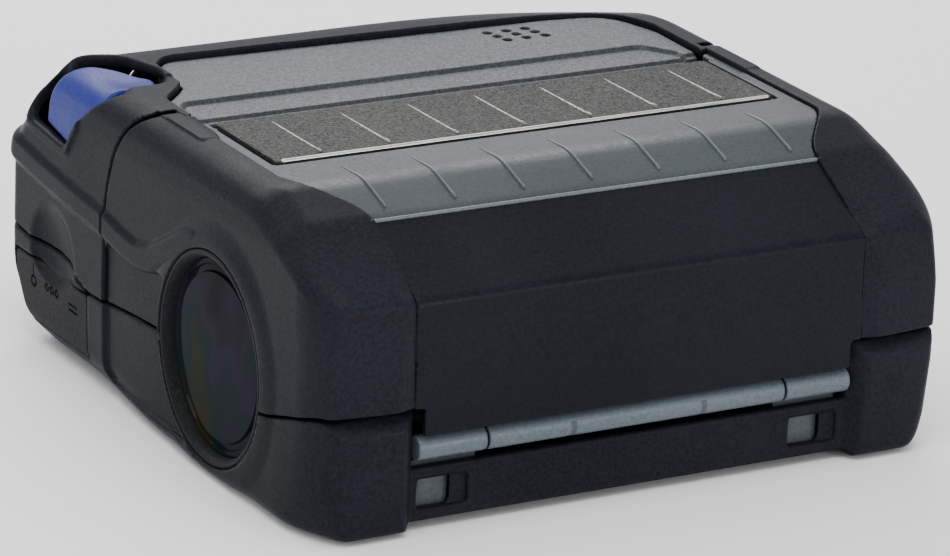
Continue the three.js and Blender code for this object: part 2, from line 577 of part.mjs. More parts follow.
add('lower_case', lowerCase(), FINISH.black);
add('rear_case', rearCase(), FINISH.black);
add('top_panel', topPanel(), FINISH.top);
add('control_panel', controlPanel(), FINISH.grey);
['feed_button', 'power_button'].forEach((name, k) => add(name, button(buttonSpots[k]), FINISH.rubber));
['left', 'middle', 'right'].forEach((name, k) => {
  add(`status_light_${name}`, statusLight(-6 + 6 * k), FINISH.led);
});
add('chassis', chassis(), FINISH.grey);
add('window_lens_right', windowLens(), FINISH.glass);
add('window_lens_left', mirrored(windowLens()), FINISH.glass);

add('cover_side_right', coverSide(), FINISH.black);
add('cover_side_left', mirrored(coverSide()), FINISH.black);
add('cover_front_panel', coverFrontPanel(), FINISH.black);
add('cover_guide_panel', coverGuidePanel(), FINISH.grey);
add('cover_frame', coverFrame(), FINISH.grey);
add('tear_bar', tearBar(), FINISH.pewter);
add('hinge_pin', rod('x', HINGE.y, HINGE.z, HINGE.pin, -HINGE_END, HINGE_END, 12), FINISH.steel);

add('platen_roller', cut(rod('x', ROLLER.y, ROLLER.z, ROLLER.r, -ROLLER.half, ROLLER.half, 28),
  rod('x', ROLLER.y, ROLLER.z, 2.8, -60, 60, 16)), FINISH.rubber);
add('platen_shaft', rod('x', ROLLER.y, ROLLER.z, 2.3, -69.8, 69.8, 16), FINISH.steel);
[['left', -58.3], ['right', 55.3]].forEach(([name, x]) => add(`platen_bush_${name}`,
  cut(rod('x', ROLLER.y, ROLLER.z, 3.35, x, x + 3, 20), rod('x', ROLLER.y, ROLLER.z, 2.6, x - 1, x + 4, 16)),
  FINISH.white));
add('platen_gear', gearSolid('x', train.platen, ...GEAR_X), FINISH.white);
add('idler_gear', gearSolid('x', train.idler, ...GEAR_X), FINISH.white);
add('motor_pinion', gearSolid('x', train.motor, ...GEAR_X), FINISH.brass);
add('feed_motor', motorBody(), FINISH.steel);
add('idler_stud', rod('x', IDLER.y, IDLER.z, 1.4, 60.8, 67.2, 12), FINISH.steel);
add('print_head', printHead(), FINISH.white);
add('head_heatsink', headSink(), FINISH.steel);
add('head_bracket', box(-60.6, 36, bracketY, bracketY + 1.2, 44, 61), FINISH.steel);
springX.forEach((x, k) => add(`head_spring_${k + 1}`, coilSolid(x, 13.9, bracketY - GAP, 56), FINISH.steel));

add('latch_shaft', rod('x', LATCH.y, LATCH.z, 2, -70.6, 70.6, 16), FINISH.steel);
add('latch_hook_right', latchHook(LATCH_X), FINISH.steel);
add('latch_hook_left', latchHook(-LATCH_X), FINISH.steel);
add('latch_spring', cut(rod('x', LATCH.y, LATCH.z, 3.6, 52, 58, 16),
  rod('x', LATCH.y, LATCH.z, 2.4, 50, 60, 16)), FINISH.steel);
add('release_lever', releaseLever(), FINISH.blue);

add('media_guide_left', mediaGuide(-1), FINISH.label);
add('media_guide_right', mediaGuide(1), FINISH.label);
const pinion = gear(0, BAY.y, RACK_TEETH, 1, -Math.PI / 2 + Math.PI / RACK_TEETH, 1.6);
add('guide_pinion', gearSolid('z', pinion, 4.4, 5.9), FINISH.white);

add('connector_flap', connectorFlap(), FINISH.rubber);
add('usb_port', port(60, 69, 9, 14, -60), FINISH.steel);
add('serial_port', port(46, 57, 8, 18, -60), FINISH.black);
add('power_jack', port(37.5, 43.5, 9, 16, -60), FINISH.black);
add('main_board', box(-59.4, 52, 22, 41, 7.4, 9), FINISH.board);
add('media_sensor', box(-10, 2, 1, 6, 37.3, 39.2), FINISH.black);
add('sounder', rod('z', 34.5, 40.1, 8, 61.5, TOP - 3.3, 24), FINISH.black);
add('battery_contacts', box(-24, BATTERY.x0 - GAP, 48, 68, 10, 22), FINISH.black);
add('battery_pack', batteryPack(), FINISH.rubber);
add('battery_latch', batteryLatch(), FINISH.grey);
feet.forEach(([x, y], k) => add(`rubber_foot_${k + 1}`, rod('z', x, y, 5, 0, 1.6, 20), FINISH.rubber));
screws.forEach(([x, y], k) => add(`case_screw_${k + 1}`, rod('z', x, y, 3, 1, 1.9, 16), FINISH.steel));

export default printer;
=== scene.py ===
import json
import math

import bpy
import numpy as np
from mathutils import Matrix, Vector


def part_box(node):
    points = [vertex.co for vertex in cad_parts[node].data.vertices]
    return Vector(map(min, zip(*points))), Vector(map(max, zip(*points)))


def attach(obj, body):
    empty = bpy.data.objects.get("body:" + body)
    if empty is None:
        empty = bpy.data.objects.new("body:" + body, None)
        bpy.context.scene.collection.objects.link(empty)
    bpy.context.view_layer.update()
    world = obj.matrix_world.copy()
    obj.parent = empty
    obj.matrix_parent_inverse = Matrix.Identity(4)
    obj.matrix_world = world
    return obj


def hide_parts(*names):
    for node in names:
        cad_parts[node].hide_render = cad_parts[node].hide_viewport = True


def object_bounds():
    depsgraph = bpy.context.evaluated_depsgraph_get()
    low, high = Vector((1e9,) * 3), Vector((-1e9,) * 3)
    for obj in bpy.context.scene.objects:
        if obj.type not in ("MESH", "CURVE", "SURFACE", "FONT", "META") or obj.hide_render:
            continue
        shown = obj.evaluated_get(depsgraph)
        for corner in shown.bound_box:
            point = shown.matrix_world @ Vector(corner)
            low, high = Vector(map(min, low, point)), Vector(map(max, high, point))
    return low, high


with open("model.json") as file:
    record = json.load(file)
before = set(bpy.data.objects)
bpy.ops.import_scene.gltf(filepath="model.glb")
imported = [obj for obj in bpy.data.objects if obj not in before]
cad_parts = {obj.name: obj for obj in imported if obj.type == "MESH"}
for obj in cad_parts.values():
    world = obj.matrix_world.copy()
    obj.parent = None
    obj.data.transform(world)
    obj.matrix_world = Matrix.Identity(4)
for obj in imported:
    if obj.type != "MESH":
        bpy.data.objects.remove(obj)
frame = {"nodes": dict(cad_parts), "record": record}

CAD_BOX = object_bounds()
MM = 0.001
COARSE = 1.0

# ---- driving dimensions, in millimetres ---------------------------------------
LOW, HIGH = ([value / MM for value in corner] for corner in CAD_BOX)
FRONT, REAR = LOW[1], HIGH[1]
HALF_WIDTH = 79.3              # side faces, without the raised belt
BELT_RISE = 1.15               # raised belt and window rim, above the side faces
BASE = 0.8                     # underside, which stands on rubber feet
TOP = HIGH[2] - 0.6            # crest of the black shell
WALL = 2.2                     # thickness of the shells
CENTRE_X = 56.3                # half width of the cover's centre panel
WINDOW_Y, WINDOW_Z = -29.5, 27.4   # centre of the round windows
BEZEL_R = 24.1                 # opening for the round window and its ring
SEAM_TOP_Y = 8.4               # joint between the cover and the rear case, on top
SEAM_GAP = 0.28                # half of the gap at a joint
HINGE_Y, HINGE_Z, HINGE_R = -76.6, 19.4, 2.75
HINGE_WALL_Y = -76.4           # wall of the lower case below the hinge
PANEL_FOOT_Y = -58.1           # where the grey guide panel meets the black front panel
RIB_PITCH = 17.1


# ---- signed distance fields ----------------------------------------------------
# A field takes x, y, z in millimetres and is negative inside the solid.
def smooth_max(a, b, k):
    """The larger of two fields, blended over the width k."""
    near = np.maximum(k - np.abs(a - b), 0)
    return np.maximum(a, b) + near * near / (4 * k)


def smooth_min(a, b, k):
    """The smaller of two fields, blended over the width k."""
    return -smooth_max(-a, -b, k)


def meet(a, b, r):
    """What two solids share, with the new edge rounded by r."""
    return np.minimum(np.maximum(a, b), -r) + np.hypot(np.maximum(a + r, 0), np.maximum(b + r, 0))


def join(a, b, r):
    """Two solids joined, with a fillet of r where they meet."""
    return -meet(-a, -b, r)


def cut(a, b, r):
    """Solid a without b, with the new edge rounded by r."""
    return meet(a, -b, r)


def block(x, y, z, low, high, r=0.5):
    """A box with rounded edges."""
    centre = [(a + b) / 2 for a, b in zip(low, high)]
    half = [(b - a) / 2 for a, b in zip(low, high)]
    dx, dy, dz = (np.abs(p - c) - h for p, c, h in zip((x, y, z), centre, half))
    return meet(meet(dx, dy, r), dz, r)


def profile(u, v, corners, closed=True):
    """Distance to a convex outline [u, v, radius], counter-clockwise, with rounded corners."""
    count = len(corners)
    value = None
    before = None
    for index in range(count if closed else count - 1):
        u0, v0, radius = corners[index]
        u1, v1, _ = corners[(index + 1) % count]
        along = Vector((u1 - u0, v1 - v0)).normalized()
        edge = (u - u0) * along.y - (v - v0) * along.x
        if value is None:
            value = edge
        else:
            turn = max(along.angle(before), 0.01)
            value = smooth_max(value, edge, max(radius * math.tan(turn / 2) * math.sin(turn), 0.02))
        before = along
    return value


def ease(value, start, end):
    """0 before start, 1 after end, and a smooth step between."""
    share = np.clip((value - start) / (end - start), 0, 1)
    return share * share * (3 - 2 * share)


# ---- from a field to a mesh ----------------------------------------------------
def net(field, low, high, step):
    """Points and quads of the field's zero surface, one point in each cell that it crosses."""
    axes = [np.arange(a - 2 * step, b + 3 * step, step) for a, b in zip(low, high)]
    shape = tuple(len(axis) for axis in axes)
    value = np.array(np.broadcast_to(field(*np.meshgrid(*axes, indexing="ij", sparse=True)), shape))
    outside = value.max()
    for axis in range(3):
        edge = np.moveaxis(value, axis, 0)
        edge[0], edge[-1] = outside, outside
    points, cells, quads = [], [], []
    for axis in range(3):
        across, up = (axis + 1) % 3, (axis + 2) % 3
        before = np.take(value, range(shape[axis] - 1), axis)
        after = np.take(value, range(1, shape[axis]), axis)
        crossing = np.argwhere((before < 0) != (after < 0))
        f0, f1 = before[tuple(crossing.T)], after[tuple(crossing.T)]
        point = crossing.astype(float)
        point[:, axis] += f0 / (f0 - f1)
        corners = []
        for shift_across, shift_up in ((0, 0), (-1, 0), (-1, -1), (0, -1)):
            cell = crossing.copy()
            cell[:, across] += shift_across
            cell[:, up] += shift_up
            corners.append(np.ravel_multi_index(cell.T, shape))
            points.append(point)
        quad = np.stack(corners, 1)
        quad[f0 > 0] = quad[f0 > 0][:, ::-1]
        quads.append(quad)
        cells.extend(corners)
    cells, points = np.concatenate(cells), np.concatenate(points)
    used, slot = np.unique(cells, return_inverse=True)
    count = np.bincount(slot)
    middle = np.stack([np.bincount(slot, points[:, k]) / count for k in range(3)], 1)
    faces = np.searchsorted(used, np.concatenate(quads))
    return middle * step + [axis[0] for axis in axes], faces


def gradient(field, points):
    """Slope of the field at the points, from small steps along each axis."""
    reach = 0.04
    steps = np.eye(3) * reach
    return np.stack([field(*(points + s).T) - field(*(points - s).T) for s in steps], 1) / (2 * reach)


def settle(field, points, step):
    """Moves the points onto the field's surface, and gives its normals there."""
    for _ in range(4):
        slope = gradient(field, points)
        size = np.maximum(np.linalg.norm(slope, axis=1), 0.3)
        move = np.clip(field(*points.T) / size, -0.35 * step, 0.35 * step)
        points = points - slope * (move / size)[:, None]
    slope = gradient(field, points)
    return points, slope / np.maximum(np.linalg.norm(slope, axis=1), 1e-6)[:, None]


def mesh_object(name, points, faces, normals=None):
    """A smooth-shaded object from points in millimetres."""
    mesh = bpy.data.meshes.new(name)
    mesh.from_pydata((np.asarray(points) * MM).tolist(), [], [list(face) for face in faces])
    mesh.validate()
    mesh.shade_smooth()
    if normals is not None and len(mesh.vertices) == len(normals):
        mesh.normals_split_custom_set_from_vertices(normals.tolist())
    made = bpy.data.objects.new(name, mesh)
    bpy.context.scene.collection.objects.link(made)
    return made


def sculpt(name, field, low, high, step):
    """A mesh object of the field inside the box from low to high."""
    step *= COARSE
    points, faces = net(field, low, high, step)
    points, normals = settle(field, points, step)
    return mesh_object(name, points, faces, normals)


def finish(made, body, material, replaces=()):
    """Gives a piece its body and material, and hides the CAD nodes that it stands for."""
    made.data.materials.append(material)
    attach(made, body)
    if replaces:
        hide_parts(*replaces)


# ---- materials -----------------------------------------------------------------
class Paint:
    """A small helper that builds one node material on the Principled shader."""

    def __init__(self, name, roughness, metallic=0.0, specular=0.5):
        self.material = bpy.data.materials.new(name)
        self.material.use_nodes = True
        self.tree = self.material.node_tree
        self.shader = self.tree.nodes["Principled BSDF"]
        self.shader.inputs["Roughness"].default_value = roughness
        self.shader.inputs["Metallic"].default_value = metallic
        self.shader.inputs["Specular IOR Level"].default_value = specular
        self.place = self.node("ShaderNodeTexCoord").outputs["Object"]

    def node(self, kind, **values):
        made = self.tree.nodes.new(kind)
        for key, value in values.items():
            setattr(made, key, value)
        return made

    def link(self, source, target):
        self.tree.links.new(source, target)

    def noise(self, size_mm, detail=3.0, stretch=(1, 1, 1)):
        """Noise with grains of about size_mm."""
        mapping = self.node("ShaderNodeMapping")
        mapping.inputs["Scale"].default_value = stretch
        self.link(self.place, mapping.inputs["Vector"])
        noise = self.node("ShaderNodeTexNoise")
        noise.inputs["Scale"].default_value = 1 / (size_mm * MM * 2)
        noise.inputs["Detail"].default_value = detail
        self.link(mapping.outputs["Vector"], noise.inputs["Vector"])
        return noise.outputs["Fac"]

    def ramp(self, source, stops):
        """The source as a colour, through [(place, colour), ...] stops."""
        ramp = self.node("ShaderNodeValToRGB")
        elements = ramp.color_ramp.elements
        while len(elements) < len(stops):
            elements.new(0.5)
        for element, (place, color) in zip(elements, stops):
            element.position = place
            element.color = (*color, 1)
        self.link(source, ramp.inputs["Fac"])
        return ramp.outputs["Color"]

    def spread(self, source, low, high, start=0.3, end=0.7):
        """The source from start to end, remapped to low to high."""
        ranged = self.node("ShaderNodeMapRange")
        for key, value in zip(("From Min", "From Max", "To Min", "To Max"), (start, end, low, high)):
            ranged.inputs[key].default_value = value
        self.link(source, ranged.inputs["Value"])
        return ranged.outputs["Result"]

    def math(self, operation, a, b):
        made = self.node("ShaderNodeMath", operation=operation)
        for socket, value in zip(made.inputs, (a, b)):
            if isinstance(value, (int, float)):
                socket.default_value = value
            else:
                self.link(value, socket)
        return made.outputs["Value"]

    def bump(self, source, depth_mm):
        """Raises the surface by up to depth_mm where the source is high."""
        bump = self.node("ShaderNodeBump")
        bump.inputs["Strength"].default_value = 1.0
        bump.inputs["Distance"].default_value = depth_mm * MM
        self.link(source, bump.inputs["Height"])
        self.link(bump.outputs["Normal"], self.shader.inputs["Normal"])


def moulded(name, dark, light, roughness, grain_mm=0.32, depth_mm=0.02, sparkle=0.1, specular=0.5):
    """Moulded plastic with a fine spark-eroded grain, slight tone shifts and handling marks."""
    paint = Paint(name, roughness, specular=specular)
    grain = paint.noise(grain_mm, 2.0)
    tone = paint.noise(28, 3.0)
    flecks = paint.noise(grain_mm * 1.3, 1.0)
    mixed = paint.math("ADD", paint.math("MULTIPLY", tone, 0.45), paint.math("MULTIPLY", flecks, 0.55))
    paint.link(paint.ramp(mixed, [(0.36, dark), (0.64, light)]), paint.shader.inputs["Base Color"])
    rubbed = paint.noise(14, 4.0)
    rough = paint.math("ADD", paint.spread(rubbed, roughness - 0.05, roughness + 0.05),
                       paint.spread(grain, -sparkle, sparkle))
    paint.link(rough, paint.shader.inputs["Roughness"])
    paint.bump(grain, depth_mm)
    return paint.material


def brushed(name, dark, light, roughness, stretch=(0.05, 1, 1), grain_mm=0.25, depth_mm=0.006):
    """Metal with fine lines along one axis."""
    paint = Paint(name, roughness, metallic=1.0)
    lines = paint.noise(grain_mm, 3.0, stretch)
    stains = paint.noise(9, 3.0)
    mixed = paint.math("ADD", paint.math("MULTIPLY", lines, 0.6), paint.math("MULTIPLY", stains, 0.4))
    paint.link(paint.ramp(mixed, [(0.3, dark), (0.7, light)]), paint.shader.inputs["Base Color"])
    paint.link(paint.spread(lines, roughness - 0.08, roughness + 0.1), paint.shader.inputs["Roughness"])
    paint.bump(lines, depth_mm)
    return paint.material


FLAKE_MM = 0.42                # size of a flake in the metallic paint


def sparkling(name, dark, light, roughness, metallic, painted_wall_shade=1.0, specular=0.3):
    """Metallic paint: a satin ground with tiny bright flakes, and painted shade that darkens walls not facing
    up.
    """
    paint = Paint(name, roughness, metallic=metallic, specular=specular)
    cells = paint.node("ShaderNodeTexVoronoi", feature="F1")
    cells.inputs["Scale"].default_value = 1 / (FLAKE_MM * MM)
    paint.link(paint.place, cells.inputs["Vector"])
    shade = paint.node("ShaderNodeSeparateColor")
    paint.link(cells.outputs["Color"], shade.inputs["Color"])
    tone = paint.noise(20, 3.0)
    mixed = paint.math("ADD", paint.math("MULTIPLY", shade.outputs["Red"], 0.6),
                       paint.math("MULTIPLY", tone, 0.4))
    flakes = paint.ramp(mixed, [(0.25, dark), (0.72, light)])
    facing = paint.node("ShaderNodeSeparateXYZ")
    paint.link(paint.node("ShaderNodeNewGeometry").outputs["Normal"], facing.inputs["Vector"])
    # painted shade: the base colour is darkened on walls whose normal doesn't point up
    wall_shade_factor = paint.spread(facing.outputs["Z"], painted_wall_shade, 1, 0.8, 0.98)
    shaded = paint.node("ShaderNodeVectorMath", operation="SCALE")
    paint.link(flakes, shaded.inputs[0])
    paint.link(wall_shade_factor, shaded.inputs["Scale"])
    paint.link(shaded.outputs["Vector"], paint.shader.inputs["Base Color"])
    paint.link(paint.spread(shade.outputs["Green"], roughness - 0.12, roughness + 0.14, 0, 1),
               paint.shader.inputs["Roughness"])
    paint.bump(shade.outputs["Blue"], 0.03)
    return paint.material


def smoked_lens(name):
    """Dark clear plastic with a faint rainbow film and a few dust specks."""
    paint = Paint(name, 0.12, specular=0.0)
    film = paint.noise(11, 2.0, (1, 1.0, 0.6))
    colors = [(0.3, (0.004, 0.005, 0.006)), (0.42, (0.014, 0.011, 0.021)), (0.5, (0.005, 0.012, 0.014)),
              (0.58, (0.016, 0.015, 0.006)), (0.7, (0.005, 0.005, 0.0055))]
    paint.link(paint.ramp(film, colors), paint.shader.inputs["Base Color"])
    dust = paint.noise(0.5, 1.0)
    paint.link(paint.spread(dust, 0.05, 0.3, 0.62, 0.75), paint.shader.inputs["Roughness"])
    paint.shader.inputs["Coat Weight"].default_value = 0.1
    paint.shader.inputs["Coat Roughness"].default_value = 0.04
    return paint.material


def circuit_board(name):
    """Solder-resist green in a fine grid of lighter lines."""
    paint = Paint(name, 0.35)
    grid = paint.node("ShaderNodeTexBrick")
    grid.inputs["Scale"].default_value = 120
    grid.inputs["Color1"].default_value = (0.010, 0.110, 0.045, 1)
    grid.inputs["Color2"].default_value = (0.016, 0.150, 0.060, 1)
    grid.inputs["Mortar"].default_value = (0.035, 0.230, 0.085, 1)
    grid.inputs["Mortar Size"].default_value = 0.03
    paint.link(paint.place, grid.inputs["Vector"])
    paint.link(grid.outputs["Color"], paint.shader.inputs["Base Color"])
    paint.bump(grid.outputs["Fac"], 0.05)
    return paint.material


BLACK = moulded("case_black", (0.0070, 0.0079, 0.0108), (0.0138, 0.0156, 0.0208), 0.4, sparkle=0.06,
                specular=0.045)
FRONT_BLACK = moulded("cover_black", (0.0034, 0.0041, 0.0068), (0.0070, 0.0082, 0.0130), 0.36,
                      depth_mm=0.012, sparkle=0.06, specular=0.09)
GREY = moulded("panel_grey", (0.025, 0.0315, 0.037), (0.038, 0.0460, 0.052), 0.4, sparkle=0.08, specular=0.2)
# Lighter copy of the panel grey: painted highlight on the guide panel's ribs and lower lip.
GREY_PAINTED_HIGHLIGHT = moulded("panel_grey_painted_highlight", (0.085, 0.100, 0.112), (0.120, 0.138, 0.152), 0.34, specular=0.35)
# The top panel's step walls get painted shade, half as bright as its upward faces.
TOP_GREY = sparkling("top_grey", (0.036, 0.043, 0.050), (0.088, 0.098, 0.110), 0.44, 0.1, painted_wall_shade=0.5,
                     specular=0.22)
FRAME_GREY = moulded("frame_grey", (0.045, 0.054, 0.061), (0.070, 0.080, 0.088), 0.45, specular=0.3)
HINGE_GREY = moulded("hinge_grey", (0.075, 0.095, 0.110), (0.105, 0.128, 0.145), 0.34, specular=0.3)
PEWTER = sparkling("pewter", (0.006, 0.0061, 0.0056), (0.060, 0.0595, 0.0550), 0.42, 0.05, specular=0.05)
# Much lighter copy of the pewter: painted highlight on the tear plate's ribs.
PEWTER_RIB_HIGHLIGHT = sparkling("pewter_rib_painted_highlight", (0.150, 0.147, 0.135), (0.360, 0.352, 0.325), 0.34, 0.5)
# Bright brushed copy of the pewter: painted highlight along the tear plate's near lip.
PEWTER_LIP_HIGHLIGHT = brushed("pewter_lip_painted_highlight", (0.36, 0.35, 0.32), (0.66, 0.65, 0.61), 0.26)
BLUE = moulded("lever_blue", (0.0060, 0.0125, 0.140), (0.0100, 0.0205, 0.205), 0.4, sparkle=0.08,
               specular=0.18)
RUBBER = moulded("rubber_black", (0.0075, 0.0078, 0.0088), (0.0150, 0.0155, 0.0170), 0.6, depth_mm=0.03,
                 specular=0.1)
KEY = moulded("key_black", (0.010, 0.011, 0.013), (0.020, 0.022, 0.025), 0.5, specular=0.3)
STEEL = brushed("steel", (0.36, 0.36, 0.37), (0.60, 0.60, 0.61), 0.28)
# Dark steel: painted shade for latch and print head parts that lie in shade inside the case.
SHADED_STEEL = brushed("steel_painted_shade", (0.020, 0.020, 0.021), (0.050, 0.050, 0.052), 0.4)
WHITE = moulded("gear_white", (0.42, 0.42, 0.39), (0.60, 0.59, 0.55), 0.42, depth_mm=0.01)
BRASS = brushed("brass", (0.34, 0.22, 0.08), (0.62, 0.44, 0.18), 0.26)
CERAMIC = moulded("ceramic", (0.36, 0.34, 0.30), (0.55, 0.53, 0.48), 0.22, depth_mm=0.004)
GUIDE = moulded("guide_dark", (0.016, 0.017, 0.020), (0.034, 0.036, 0.040), 0.5, specular=0.4)
LENS = smoked_lens("lens")
LIGHT = moulded("light_lens", (0.20, 0.38, 0.22), (0.40, 0.62, 0.42), 0.2, depth_mm=0.004)
BOARD = circuit_board("board_green")


# ---- the printer's outer form ----------------------------------------------------
# Outlines as [u, v, radius]: the side in y, z, the others in half width and y or z.
SIDE_VIEW = [
    [69, BASE, 9], [REAR - 0.5, 14, 9], [REAR - 0.5, 40, 20], [80, 49.2, 6], [59.4, TOP, 5],
    [-44, TOP - 0.1, 20], [-57.5, 65.9, 18], [-79.8, 53.8, 3], [FRONT + 0.1, 28, 20], [-79.6, BASE, 3],
]
PLAN_EDGE = [[79.9, FRONT, 3], [81, -60, 20], [81, REAR, 0]]
END_EDGE = [[74.5, BASE, 5], [78.7, 6.5, 7], [HALF_WIDTH, 24, 20], [HALF_WIDTH, 46, 24],
            [78.4, 60, 16], [76.4, TOP + 0.1, 0]]
LOW_EDGE = [[78.6, -2, 0], [80.1, 4, 5], [80.0, 22, 20], [HALF_WIDTH, 46, 24],
            [78.4, 60, 16], [76.4, TOP + 0.1, 0]]      # END_EDGE's place near the windows
CORNER_EDGE = [[71.2, -3, 0], [73.8, 9, 12], [75, 22, 12], [75.1, 40, 14], [72.8, 55, 20], [68.5, 68, 0]]
CORNER_SLOPE = 0.58            # of the faces between the front and the sides
CREASE_SLOPE = 0.27            # how fast the front face turns away beyond its crease
FALL_START = 58.2              # where the top begins to fall towards the control panel
FALL_ANGLE = math.radians(20)
# The raised belt's centre line along the side.
BELT_Y = [-28, -16, -7.2, 1.3, 8, 15.9, 25.9, 42, 58, 95]
BELT_Z = [52.6, 50.3, 45.1, 40.6, 39.2, 39.7, 41.2, 42.2, 43.6, 48]
BELT_HALF = 1.7                # half width of its flat crest
RIM_R = 24.9                   # outside of the raised rim round the window
RECESS = 1.0                   # depth of the panel between belt and window


def window_radius(y, z):
    """Distance from the round window's axis."""
    return np.hypot(y - WINDOW_Y, z - WINDOW_Z)


def smooth_line(y, spots, heights):
    """A smooth line through the heights given at the spots."""
    fine = np.linspace(-90, 95, 371)
    kernel = np.hanning(19) / np.hanning(19).sum()
    line = np.pad(np.interp(fine, spots, heights), len(kernel) // 2, "edge")
    return np.interp(y, fine, np.convolve(line, kernel, "valid"))


def belt_distance(y, z):
    """Distance from the belt's centre line, along the side."""
    height = smooth_line(y, BELT_Y, BELT_Z)
    steepness = smooth_line(y + 0.5, BELT_Y, BELT_Z) - smooth_line(y - 0.5, BELT_Y, BELT_Z)
    return np.hypot((z - height) / np.hypot(1, steepness), np.maximum(BELT_Y[0] - y, 0))


def finger_scoop(x, y, z):
    """Arched thumb recess above the connector flap: a slice of an ellipsoid."""
    middle_y, middle_z = 52.5, 24
    tall = np.where(z > middle_z, 16, 8.5)
    along, up, deep = (y - middle_y) / 14.6, (z - middle_z) / tall, (x + HALF_WIDTH + 3.4) / 6
    return (np.sqrt(along ** 2 + up ** 2 + deep ** 2) - 1) * 5


def form(x, y, z):
    """The whole closed printer, without seams or openings."""
    wide = np.abs(x)
    start = FALL_START - 0.0034 * np.maximum(x, 0) ** 2
    fall = (z - TOP) * math.cos(FALL_ANGLE) + (y - start) * math.sin(FALL_ANGLE)
    side = smooth_max(profile(y, z, SIDE_VIEW), fall, 3)
    flare = ease(y, -79, -60) * (1 - ease(y, -10, 38))
    ends = profile(wide, z, END_EDGE, False) * (1 - flare) + profile(wide, z, LOW_EDGE, False) * flare
    flank = smooth_max(profile(wide, y, PLAN_EDGE, False), ends, 3)
    flank = smooth_max(flank, profile(wide, z, CORNER_EDGE, False) - CORNER_SLOPE * (y - FRONT), 3)
    crease = 73.6 - 4.6 * ease(z, 25, 30) - 2.6 * ease(z, 32, 54)
    flank = smooth_max(flank, (CREASE_SLOPE * (wide - crease) - (y - FRONT)) * 0.965, 0.9)
    rounding = 2.6 + 4.4 * ease(z, 44, 66) + 7.5 * ease(y, 55, 80) * (1 - 0.5 * ease(z, 50, 66))
    body = meet(side, flank, rounding)
    rim = 1 - ease(window_radius(y, z), RIM_R, RIM_R + 6.6)
    belt = (1 - ease(belt_distance(y, z), BELT_HALF, BELT_HALF + 2.2)) * ease(y, -27, -18)
    on_flank = ease(flank - side, -7, -1)
    raised = body - BELT_RISE * np.maximum(rim, belt) * on_flank
    body = smooth_max(raised, wide - HIGH[0] + 0.05, 0.8)
    shape = cut(body, np.maximum(window_radius(y, z) - BEZEL_R - 0.15, 60 - wide), 0.6)
    pad = meet(block(wide, y, z, (60, -30, 4.2), (90, 25, 38.5), 4.5), RIM_R + 0.6 - window_radius(y, z), 0.6)
    pad = meet(pad, 3.6 - belt_distance(y, z), 1)
    shape = cut(shape, meet(pad, -(flank + RECESS), 0.5), 0.8)
    return cut(shape, finger_scoop(x, y, z), 0.3)


def walled(outer, thickness=WALL):
    """A hollow shell inside the outer field's surface."""
    return np.maximum(outer, -(outer + thickness))


# ---- parting lines -----------------------------------------------------------------
SEAM_Y = [-90, -75, -66, -57, -48, -12, 12.6, 25, 34.5, 42, 64, 90]
SEAM_Z = [28.6, 28.5, 26.3, 23.6, 22.8, 25.6, 23.6, 22.2, 21.8, 24.2, 25.7, 27.6]


def seam_height(y):
    """Height of the joint between the lower case and the parts above it."""
    return smooth_line(y, SEAM_Y, SEAM_Z)


def cover_edge(x, y, z):
    """Negative on the cover's side of the joint with the rear case: straight on top, an arc at the side."""
    reach, start, rise = 17, 42.5, 28.2
    rounded = np.hypot(np.maximum(y - SEAM_TOP_Y, 0) / reach, np.maximum(z - start, 0) / rise) - 1
    return np.where(np.abs(x) < 68, y - SEAM_TOP_Y, rounded * reach)


def guide_half_width(y):
    """Half width of the grey guide panel, which narrows in an S towards its lower edge."""
    return CENTRE_X + 0.1 + 11.6 * ease(y, PANEL_FOOT_Y, -37)


# ---- lower case ----------------------------------------------------------------------
def middles(name):
    """Places in x, y of the four CAD nodes name_1 to name_4."""
    boxes = [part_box(f"{name}_{index}") for index in range(1, 5)]
    return [((low.x + high.x) / 2 / MM, (low.y + high.y) / 2 / MM) for low, high in boxes]


BUMPER_X = 54.9                # inner sides of the two front bumpers
FLAP_LOW, FLAP_HIGH = (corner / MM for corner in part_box("connector_flap"))
BATTERY_LOW, BATTERY_HIGH = (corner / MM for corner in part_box("battery_pack"))
FEET = middles("rubber_foot")
SCREWS = middles("case_screw")
TAB_STOPS = (-43, 51)          # bars in the two windows below the hinge


